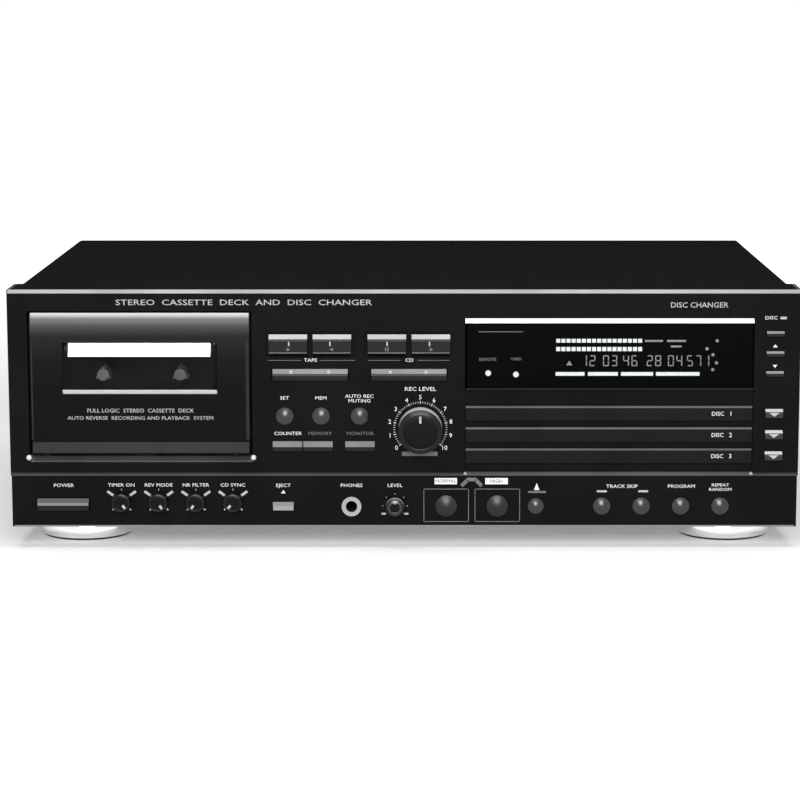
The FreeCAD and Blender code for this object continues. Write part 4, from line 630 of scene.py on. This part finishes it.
def print_scales():
    """Print the numbered dial round the level knob and the marks round the small knobs."""
    ring = bmesh.new()
    add_ticks(ring, LEVEL_X, LEVEL_Z, 13.7, 15.2, range(-130, 131, 26), 0.6, PANEL_FACE)
    fine = [-130 + 5.2 * step for step in range(51) if step % 5]
    add_ticks(ring, LEVEL_X, LEVEL_Z, 13.9, 14.9, fine, 0.35, PANEL_FACE)
    add_piece("level_ticks", ring, PRINT)
    for figure in range(11):
        x, z = point_on_ring(LEVEL_X, LEVEL_Z, 17.2, -130 + 26 * figure)
        add_words(f"level_figure_{figure}", str(figure), x, z, 2.5, finish=BOLD_PRINT)
    add_bars("level_bar", [(LEVEL_X - 10.2, LEVEL_X + 9.4, 51.9, 54.3)], FAINT_PRINT)
    marks = bmesh.new()
    for side in (-1, 1):
        add_block(marks, (PHONES_X + side * 6.2 - 1.2, STRIP_FACE - PRINT_THICK, STRIP_Z - 4.9),
                  (PHONES_X + side * 6.2 + 1.2, STRIP_FACE, STRIP_Z - 3.9))
    add_ticks(marks, PHONES_X, STRIP_Z, 6.4, 7.2, (-90, -45, 0, 45, 90), 0.3, STRIP_FACE)
    for x in SELECTOR_XS:
        add_ticks(marks, x, SELECTOR_Z, 5.6, 9.6, (-55, 55), 1.4, STRIP_FACE)
        add_ticks(marks, x, SELECTOR_Z, 6.0, 7.2, (-135, 135), 0.8, STRIP_FACE)
        add_ticks(marks, x, SELECTOR_Z, 6.0, 7.0, (0,), 0.4, STRIP_FACE)
    add_piece("small_knob_marks", marks, PRINT)


def add_figure(shape, figure, x, z, face):
    """Add one seven-bar figure. Its bars are numbered from the top clockwise, then across."""
    wide, tall, bar = 3.2, 6.0, 0.55
    lit = {"0": "012345", "1": "12", "2": "01346", "3": "01236", "4": "1256", "5": "02356",
           "6": "023456", "7": "012", "8": "0123456"}
    upright = tall / 2 - bar / 2
    bars = {"0": (bar, wide - bar, tall - bar, tall),
            "1": (wide - bar, wide, tall / 2 + 0.2, tall - 0.2),
            "2": (wide - bar, wide, 0.2, upright),
            "3": (bar, wide - bar, 0, bar),
            "4": (0, bar, 0.2, upright),
            "5": (0, bar, tall / 2 + 0.2, tall - 0.2),
            "6": (bar, wide - bar, upright, upright + bar)}
    for number in lit[figure]:
        left, right, low, high = bars[number]
        add_block(shape, (x + left, face - PRINT_THICK, z + low), (x + right, face, z + high))


def dress_display():
    """Lay the upper edge painted as a bright highlight, the meters, the figures and the marks on
    the display's pane, and a dim painted highlight on its lower edge.
    """
    low, high = place_of("display_window")
    edge = bmesh.new()
    add_slope(edge, low.x, high.x, (PANE_FACE + 0.45, high.z - 2.45), (PANEL_FACE, high.z))
    add_piece("display_top_edge", edge, PAINTED_HIGHLIGHT_BRIGHT)
    cells = []
    for step in range(17):
        left = 83.3 + step * 2.8
        cells.append((left, left + 2.2, 115.2, 117.3))
        cells.append((left, left + 2.2, 110.5, 112.8))
    add_bars("display_meters", cells, LIT, PANE_FACE)
    add_bars("display_lower_row", [(83.1, 98.9, 96.9, 98.9), (100.8, 117.2, 96.9, 98.9),
                                   (118.9, 136.5, 96.9, 98.9), (138.1, 162.0, 96.9, 98.9)],
             LIT, PANE_FACE)
    add_bars("display_upper_marks", [(131.8, 141.7, 115.6, 116.7), (143.9, 154.3, 115.6, 116.7),
                                     (146.0, 152.0, 112.6, 113.6)], DIM, PANE_FACE)
    figures = bmesh.new()
    figure_xs = (97, 101.6, 109, 113.6, 120, 124.6, 133, 137.6, 144.6, 149.2, 155, 159.6, 164)
    for figure, x in zip("1203462804571", figure_xs):
        add_figure(figures, figure, x, 102.2, PANE_FACE)
    add_triangle(figures, 90.5, 103.5, 3.4, 2.6, PANE_FACE, 0)
    add_piece("display_figures", figures, DIM)
    add_dots("display_spots", [(171.4, 116.2), (165.9, 111.8), (169.2, 108.5), (171.2, 104.0),
                               (169.2, 100.2)], 0.9, DIM, PANE_FACE)
    add_bars("display_fine_line", [(40.9, 65.1, 121.0, 121.4)], FAINT_PRINT, PANE_FACE)
    add_words("remote_word", "REMOTE", 45.8, 105.8, 1.8, PANE_FACE, FAINT_PRINT)
    add_words("timer_lamp_word", "TIMER", 61.3, 106.0, 1.6, PANE_FACE, FAINT_PRINT)
    add_dots("display_lamps", [(46.1, 98.3), (61.3, 97.6)], 1.6, LAMP, PANE_FACE, proud=0.4,
             sides=24)
    # A dim painted highlight along the pane's lower edge.
    foot = bmesh.new()
    add_slope(foot, low.x, high.x, (PANEL_FACE, low.z), (PANE_FACE, low.z + 0.8), 0.05)
    add_piece("display_foot_edge", foot, PAINTED_HIGHLIGHT_DARK)


def dress_trays():
    """Lay a satin line painted as a highlight along each drawer's upper edge, dimmer on the lowest,
    and print its number.
    """
    # Painted highlights, the lowest drawer's dimmer.
    painted_highlight_finishes = (PAINTED_HIGHLIGHT_GREY, PAINTED_HIGHLIGHT_GREY, PAINTED_HIGHLIGHT_DARK)
    for number, (low_z, painted_highlight_finish) in enumerate(zip(TRAY_LOWS, painted_highlight_finishes), 1):
        name = f"disc_tray_{number}"
        low, high = place_of(name)
        top = low_z + TRAY_TALL
        edge = bmesh.new()
        add_slope(edge, low.x, high.x, (TRAY_FACE, top - 1.0), (TRAY_FACE + 1.0, top), 0.05)
        add_piece(name + "_edge", edge, painted_highlight_finish, name)
        add_words(name + "_word", "DISC", 172.5, low_z + 3.7, 2.3, TRAY_FACE, BOLD_PRINT, name)
        add_words(name + "_figure", str(number), 179.7, low_z + 3.7, 2.5, TRAY_FACE, BOLD_PRINT,
                  name)


def dress_door():
    """Lay the window's edges and the lower band, painted as highlights, lighter lines painted as
    highlights along the door's sides, and the printed lines on the cassette door.
    """
    low, high = place_of("door_window")
    middle = middle_of("door_window")[0]
    glass_top = high.z - 2.15
    glass_low = low.z + 2.15
    top = bmesh.new()
    add_slope(top, low.x + 5.6, high.x - 5.6, (DOOR_GLASS_FACE, glass_top - 7.1),
              (PANEL_FACE, glass_top))
    add_piece("door_window_top_edge", top, PAINTED_HIGHLIGHT_BRIGHT, "cassette_door")
    foot = bmesh.new()
    add_slope(foot, low.x + 2.2, high.x - 2.2, (PANEL_FACE, glass_low),
              (DOOR_GLASS_FACE, glass_low + 2.4))
    add_piece("door_window_foot_edge", foot, PAINTED_HIGHLIGHT_WHITE, "cassette_door")
    band = bmesh.new()
    add_slope(band, DOOR_LEFT + 0.7, DOOR_RIGHT - 0.7, (PANEL_FACE - 0.8, DOOR_LOW + 0.7),
              (PANEL_FACE - 0.02, DOOR_LOW + 6.5), 0.04)
    add_piece("door_lower_painted_highlight", band, BAND_PAINTED_HIGHLIGHT, "cassette_door")
    add_bars("door_side_lines", [(DOOR_LEFT + 0.4, DOOR_LEFT + 1.3, DOOR_LOW + 8, CROWN_Z - 2),
                                 (DOOR_RIGHT - 2.2, DOOR_RIGHT - 0.4, DOOR_LOW + 8, CROWN_Z - 2)],
             BAND_PAINTED_HIGHLIGHT, PANEL_FACE, "cassette_door")
    add_words("door_line_1", "FULL LOGIC  STEREO  CASSETTE  DECK", middle, 77.1, 2.2,
              body="cassette_door", wide=1.08)
    add_words("door_line_2", "AUTO REVERSE  RECORDING AND PLAYBACK  SYSTEM", middle, 73.0, 2.0,
              body="cassette_door", wide=1.16)


def fade_up(finish, stops):
    """Paint a highlight into a finish, lightening it towards the top by stops of (height in
    millimetres, tone).
    """
    low_z, high_z = stops[0][0], stops[-1][0]
    tree = finish.node_tree
    shader = tree.nodes["Principled BSDF"]
    coordinates = tree.nodes.new("ShaderNodeTexCoord")
    parts = tree.nodes.new("ShaderNodeSeparateXYZ")
    tree.links.new(coordinates.outputs["Object"], parts.inputs["Vector"])
    rise = shade_node(tree, "ShaderNodeMapRange", From_Min=low_z * MM, From_Max=high_z * MM)
    tree.links.new(parts.outputs["Z"], rise.inputs["Value"])
    fade = tree.nodes.new("ShaderNodeValToRGB")
    ramp = fade.color_ramp.elements
    ramp[-1].color = (*grey(stops[-1][1]), 1.0)
    ramp[0].color = (*grey(stops[0][1]), 1.0)
    for height, tone in stops[1:-1]:
        ramp.new((height - low_z) / (high_z - low_z)).color = (*grey(tone), 1.0)
    tree.links.new(rise.outputs["Result"], fade.inputs["Fac"])
    tree.links.new(fade.outputs["Color"], shader.inputs["Base Color"])


def add_crown():
    """Lay a painted highlight, lightening to its top, on the bowed upper part of the door."""
    bow = math.asin((DOOR_TOP - CROWN_Z) / CROWN_RADIUS)
    middle_y = PANEL_FACE + CROWN_RADIUS
    shape = bmesh.new()
    inner = CROWN_RADIUS - 0.02
    outer = CROWN_RADIUS + 0.05
    corners = [shape.verts.new((x, middle_y - radius, CROWN_Z)) for x, radius in
               ((DOOR_LEFT + 0.4, inner), (DOOR_RIGHT - 0.4, inner), (DOOR_RIGHT - 0.4, outer),
                (DOOR_LEFT + 0.4, outer))]
    start = shape.faces.new(corners)
    bmesh.ops.spin(shape, geom=[start, *start.edges, *start.verts], cent=(0, middle_y, CROWN_Z),
                   axis=(-1, 0, 0), dvec=(0, 0, 0), angle=bow, steps=16)
    bmesh.ops.recalc_face_normals(shape, faces=shape.faces)
    add_piece("door_crown_painted_highlight", shape, CROWN_PAINTED_HIGHLIGHT, "cassette_door", rounded=35)


def trim_panel():
    """Lay satin lines painted as highlights on the panel's top bevel, sill and ledge and a painted
    highlight along the panel's foot, and fit the sill's studs, bright as painted glints.
    """
    top = bmesh.new()
    add_slope(top, -PANEL_HALF + 0.6, PANEL_HALF - 0.6, (PANEL_FACE, PANEL_TOP - TOP_BEVEL),
              (PANEL_FACE + TOP_BEVEL, PANEL_TOP), 0.03)
    add_piece("panel_top_line", top, PAINTED_HIGHLIGHT_LINE)
    skin = bmesh.new()
    add_block(skin, (-CASE_HALF, PANEL_FACE + TOP_BEVEL, PANEL_TOP - 0.01),
              (CASE_HALF, PANEL_FACE + PANEL_DEEP, PANEL_TOP + 0.03))
    add_piece("panel_top_skin", skin, FINISHES["cover_black"])
    sill = bmesh.new()
    add_slope(sill, WELL_LEFT, WELL_RIGHT, (PANEL_FACE, SILL_LOW), (PANEL_FACE + 3.0, SILL_HIGH),
              0.04)
    add_piece("door_sill_line", sill, PAINTED_HIGHLIGHT_GREY)
    # A pale line along the panel's lower edge: a painted highlight.
    add_bars("panel_foot_line", [(-PANEL_HALF + 1.6, PANEL_HALF - 1.6, 12.0, 12.9)], KEY_PAINTED_HIGHLIGHT_GREY,
             STRIP_FACE)
    ledge = bmesh.new()
    add_slope(ledge, -PANEL_HALF + 0.6, PANEL_HALF - 0.6, (STRIP_FACE, LEDGE_LOW),
              (STRIP_FACE + 1.5, LEDGE_TOP - 0.1), 0.04)
    add_piece("ledge_line", ledge, PAINTED_HIGHLIGHT_DARK)
    # The studs are the door's pin ends, made bright to paint the glints at the well's lower
    # corners.
    studs = bmesh.new()
    for x in (WELL_LEFT - 0.45, WELL_RIGHT + 0.45):
        add_turned(studs, [(0, PANEL_FACE + 2.0), (1.55, PANEL_FACE + 2.0),
                           (1.55, PANEL_FACE - 0.1), (1.1, PANEL_FACE - 0.7),
                           (0, PANEL_FACE - 0.9)], x, STUD_Z, 24)
    add_piece("door_pin_ends_painted_glint", studs, PAINTED_HIGHLIGHT_BRIGHT, rounded=35)


def print_signs():
    """Print the frames, plates and link of the dubbing keys, and the small signs and bars, and
    paint two small glints on the module's lower corners.
    """
    lines = []
    for left, right, low, high in DUB_FRAMES:
        lines += [(left, right, high - 0.4, high), (left, right, low, low + 0.4),
                  (left, left + 0.4, low, high), (right - 0.4, right, low, high)]
    add_bars("dubbing_frames", lines, FAINT_PRINT, STRIP_FACE)
    add_bars("dubbing_plates", [(16.7, 29.1, 35.9, 39.4), (44.7, 57.2, 35.9, 39.4)], BOLD_PRINT,
             STRIP_FACE)
    for name, words, x in (("normal_word", "NORMAL", 22.9), ("high_word", "HIGH", 50.95)):
        add_words(name, words, x, 37.65, 2.0, STRIP_FACE - PRINT_THICK, DARK_PRINT)
    arch = bmesh.new()
    for start, end in (((31.6, 35.0), (35.0, 38.4)), ((34.6, 38.6), (39.8, 38.6)),
                       ((39.4, 38.4), (42.8, 35.0))):
        add_stroke(arch, start, end, 2.0, STRIP_FACE)
    add_piece("dubbing_link", arch, FAINT_PRINT)
    signs = bmesh.new()
    add_triangle(signs, 73.2, 34.0, 3.0, 4.0, STRIP_FACE, 0)
    add_triangle(signs, -66.9, 31.4, 2.6, 1.8, STRIP_FACE, 0)
    add_triangle(signs, 203.5, 112.9, 2.6, 1.6, PANEL_FACE, 0)
    add_triangle(signs, 203.5, 102.1, 2.6, 1.6, PANEL_FACE, 180)
    add_piece("small_signs", signs, BOLD_PRINT)
    # Two small pale marks on the ledge at the module's lower corners: painted glints.
    corners = bmesh.new()
    for x in MODULE_CORNERS:
        add_slope(corners, x - 1.1, x + 1.1, (STRIP_FACE, 41.3), (STRIP_FACE + 1.2, 42.6), 0.07,
                  mitre=0.8)
    add_piece("module_corner_marks", corners, PRINT)
    add_bars("small_bars", [(68.6, 78.2, 31.0, 32.1)], FAINT_PRINT, STRIP_FACE)
    add_bars("skip_bars", [(106.4, 112.0, 31.4, 32.5), (129.4, 134.8, 31.4, 32.5)], PRINT,
             STRIP_FACE)
    add_bars("open_bars", [(206.0, 209.4, 127.9, 129.3)], PRINT)


def print_labels():
    """Print the plain words of the controls."""
    add_words("header_line", "STEREO  CASSETTE  DECK  AND  DISC  CHANGER", -87.7, 137.0, 3.1,
              wide=1.44)
    add_words("header_right", "DISC CHANGER", 161.5, 135.6, 3.0, wide=1.05)
    for name, (words, x, z, tall, face) in LABELS.items():
        add_words(name, words, x, z, tall, face, BOLD_PRINT, wide=LABEL_WIDE)
    for name, (words, x, z, tall, face) in FAINT_LABELS.items():
        add_words(name, words, x, z, tall, face, FAINT_PRINT, wide=LABEL_WIDE)


def line_jack():
    """Put a dark sleeve with a closed end inside the headphone socket."""
    front = place_of("headphone_jack")[0].y
    x, z = middle_of("headphone_jack")
    sleeve = bmesh.new()
    end = front + JACK_DEEP
    add_turned(sleeve, [(JACK_BORE, front + 0.6), (JACK_BORE, end), (2.9, end), (2.9, front + 0.6),
                        (JACK_BORE, front + 0.6)], x, z, 48)
    add_turned(sleeve, [(0, end - 0.1), (JACK_BORE, end - 0.1), (JACK_BORE, end + 0.4),
                        (0, end + 0.4)], x, z, 48)
    add_piece("jack_sleeve", sleeve, FINISHES["socket_black"], rounded=35)


def ring_feet():
    """Put a bright rounded ring round each foot."""
    profile = [(24.4, 11.2), (24.8, 11.2), (25.0, 10.9), (25.9, 2.0), (25.7, 1.3), (24.4, 1.0),
               (24.4, 11.2)]
    for number, (x, y) in enumerate(FEET, 1):
        shape = bmesh.new()
        points = [shape.verts.new((radius, 0, height)) for radius, height in profile]
        lines = [shape.edges.new(pair) for pair in zip(points, points[1:])]
        bmesh.ops.spin(shape, geom=points + lines, cent=(0, 0, 0), axis=(0, 0, 1), dvec=(0, 0, 0),
                       angle=math.tau, steps=72, use_merge=True)
        bmesh.ops.remove_doubles(shape, verts=shape.verts, dist=0.0001)
        bmesh.ops.recalc_face_normals(shape, faces=shape.faces)
        bmesh.ops.translate(shape, vec=(x, y, 0), verts=shape.verts)
        add_piece(f"foot_ring_{number}", shape, FOOT_RING, rounded=35)


def add_screw(shape, place, out):
    """Add a pan-head screw with a cross on it, standing out of a face along a direction."""
    head = bmesh.ops.create_uvsphere(shape, u_segments=24, v_segments=12, radius=3.4)["verts"]
    bmesh.ops.scale(shape, vec=(1.0, 1.0, 0.42), verts=head)
    buried = [corner for corner in head if corner.co.z < -0.2]
    bmesh.ops.delete(shape, geom=buried, context="VERTS")
    head = [corner for corner in head if corner.is_valid]
    for across in (True, False):
        before = set(shape.verts)
        size = (2.4, 0.5, 0.1) if across else (0.5, 2.4, 0.1)
        add_block(shape, (-size[0], -size[1], 1.32), (size[0], size[1], 1.32 + size[2]))
        head += [corner for corner in shape.verts if corner not in before]
    turn = Vector((0, 0, 1)).rotation_difference(Vector(out)).to_matrix()
    bmesh.ops.rotate(shape, matrix=turn, verts=head)
    bmesh.ops.translate(shape, vec=place, verts=head)


def fit_screws():
    """Fit the cover's side screws and the screws of the rear panel."""
    sides = bmesh.new()
    for side in (-1, 1):
        for y, z in SIDE_SCREWS:
            add_screw(sides, (side * CASE_HALF, y, z), (side, 0, 0))
    add_piece("side_screws", sides, SCREW_BLACK, rounded=35)
    rear = bmesh.new()
    for x, z in REAR_SCREWS:
        add_screw(rear, (x, REAR_FACE, z), (0, 1, 0))
    add_piece("rear_screws", rear, SCREW_BLACK, rounded=35)


def fit_phono_barrels():
    """Fit the four phono barrels, each with its coloured ring, and print the words round them."""
    barrels = bmesh.new()
    reds = bmesh.new()
    whites = bmesh.new()
    for x in PHONO_XS:
        for z, ring in zip(PHONO_ZS, (reds, whites)):
            add_turned(ring, [(4.3, SOCKET_FACE), (5.6, SOCKET_FACE), (5.6, SOCKET_FACE + 1.0),
                              (5.3, SOCKET_FACE + 1.3), (4.3, SOCKET_FACE + 1.3)], x, z, 40)
            add_turned(barrels, [(4.15, SOCKET_FACE), (4.15, SOCKET_FACE + 4.7),
                                 (3.9, SOCKET_FACE + 5.0), (3.0, SOCKET_FACE + 5.0),
                                 (2.9, SOCKET_FACE + 4.7), (2.9, SOCKET_FACE + 0.3),
                                 (0, SOCKET_FACE + 0.3)], x, z, 40)
    for name, (words, x, z) in REAR_LABELS.items():
        add_words(name, words, x, z, 2.6, REAR_FACE + PRINT_THICK, PRINT, turn=180)
    add_piece("phono_barrels", barrels, BRASS, rounded=35)
    add_piece("right_rings", reds, RED_RING, rounded=35)
    add_piece("left_rings", whites, WHITE_RING, rounded=35)


def soft_box(name, place, target, wide, deep, power):
    """A rectangular studio lamp that faces a point."""
    lamp = bpy.data.lights.new(name, "AREA")
    lamp.shape = "RECTANGLE"
    lamp.size = wide
    lamp.size_y = deep
    lamp.energy = power
    holder = bpy.data.objects.new(name, lamp)
    bpy.context.scene.collection.objects.link(holder)
    holder.location = place
    direction = Vector(target) - Vector(place)
    holder.rotation_euler = direction.to_track_quat("-Z", "Y").to_euler()


def join_values(tree, operation, first, second):
    """One value worked out from two."""
    node = tree.nodes.new("ShaderNodeMath")
    node.operation = operation
    tree.links.new(first, node.inputs[0])
    tree.links.new(second, node.inputs[1])
    return node.outputs["Value"]


def seen_directly(tree):
    """One where a ray comes from the camera, a mirror or a pane, nought where it only lights."""
    rays = tree.nodes.new("ShaderNodeLightPath").outputs
    either = join_values(tree, "MAXIMUM", rays["Is Camera Ray"], rays["Is Glossy Ray"])
    return join_values(tree, "MAXIMUM", either, rays["Is Transmission Ray"])


def light_object():
    """Soft studio light from above and in front, inside a white surround."""
    world = bpy.data.worlds.new("surround")
    bpy.context.scene.world = world
    world.use_nodes = True
    tree = world.node_tree
    back = tree.nodes["Background"]
    back.inputs["Color"].default_value = (1.0, 1.0, 1.0, 1.0)
    level = shade_node(tree, "ShaderNodeMapRange", To_Min=0.26, To_Max=1.0)
    tree.links.new(seen_directly(tree), level.inputs["Value"])
    tree.links.new(level.outputs["Result"], back.inputs["Strength"])
    soft_box("overhead_box", (0.0, -0.3, 1.2), (0.0, -0.2, 0.1), 1.2, 0.7, 8.0)
    soft_box("front_box", (0.0, -2.0, 1.0), (0.0, 0.0, 0.1), 1.2, 0.8, 34.0)
    soft_box("low_front_box", (0.0, -2.6, 0.5), (0.0, 0.0, 0.05), 1.8, 0.5, 8.0)


def lay_floor():
    """A pale floor that turns white away from the object and keeps its shadow."""
    shape = bmesh.new()
    bmesh.ops.create_grid(shape, x_segments=1, y_segments=1, size=8.0)
    mesh = bpy.data.meshes.new("floor")
    shape.to_mesh(mesh)
    shape.free()
    floor = bpy.data.objects.new("floor", mesh)
    bpy.context.scene.collection.objects.link(floor)
    finish = bpy.data.materials.new("floor_white")
    finish.use_nodes = True
    tree = finish.node_tree
    shader = tree.nodes["Principled BSDF"]
    shader.inputs["Base Color"].default_value = (0.88, 0.88, 0.88, 1.0)
    shader.inputs["Roughness"].default_value = 0.9
    shader.inputs["Specular IOR Level"].default_value = 0.0
    shader.inputs["Emission Color"].default_value = (1.0, 1.0, 1.0, 1.0)
    coordinates = tree.nodes.new("ShaderNodeTexCoord")
    centred = shade_node(tree, "ShaderNodeMapping", Location=(0.0, 0.6, 0.0))
    tree.links.new(coordinates.outputs["Object"], centred.inputs["Vector"])
    far = tree.nodes.new("ShaderNodeVectorMath")
    far.operation = "LENGTH"
    tree.links.new(centred.outputs["Vector"], far.inputs[0])
    fade = shade_node(tree, "ShaderNodeMapRange", From_Min=1.0, From_Max=2.0, To_Min=0.16,
                      To_Max=1.0)
    tree.links.new(far.outputs["Value"], fade.inputs["Value"])
    strength = join_values(tree, "MULTIPLY", fade.outputs["Result"], seen_directly(tree))
    tree.links.new(strength, shader.inputs["Emission Strength"])
    mesh.materials.append(finish)


def set_camera():
    """Look at the front from a little above, from the photograph's distance."""
    lens = bpy.data.cameras.new("camera")
    lens.lens = 119.1
    lens.sensor_width = 36.0
    lens.shift_x = -0.0382
    camera = bpy.data.objects.new("camera", lens)
    bpy.context.scene.collection.objects.link(camera)
    camera.location = (0.0145, -1.576, 0.3128)
    camera.rotation_euler = (math.radians(90 - 9.08), 0.0, 0.0)
    bpy.context.scene.camera = camera
    bpy.context.scene.view_settings.view_transform = "Standard"


# Painted highlight: the door's face and its crown lighten towards the top.
fade_up(FINISHES["door_black"], ((88.0, 0.0035), (105.0, 0.006), (CROWN_Z, 0.015),
                                 (DOOR_TOP, 0.06)))
fade_up(CROWN_PAINTED_HIGHLIGHT, ((CROWN_Z, 0.015), (124.0, 0.045), (128.0, 0.12), (DOOR_TOP, 0.7)))
dress_nodes()
dress_bar_keys()
dress_transport_signs()
dress_rockers()
turn_round_keys()
turn_knobs()
print_scales()
dress_display()
dress_trays()
dress_door()
add_crown()
trim_panel()
print_signs()
print_labels()
line_jack()
ring_feet()
fit_screws()
fit_phono_barrels()
light_object()
lay_floor()
set_camera()
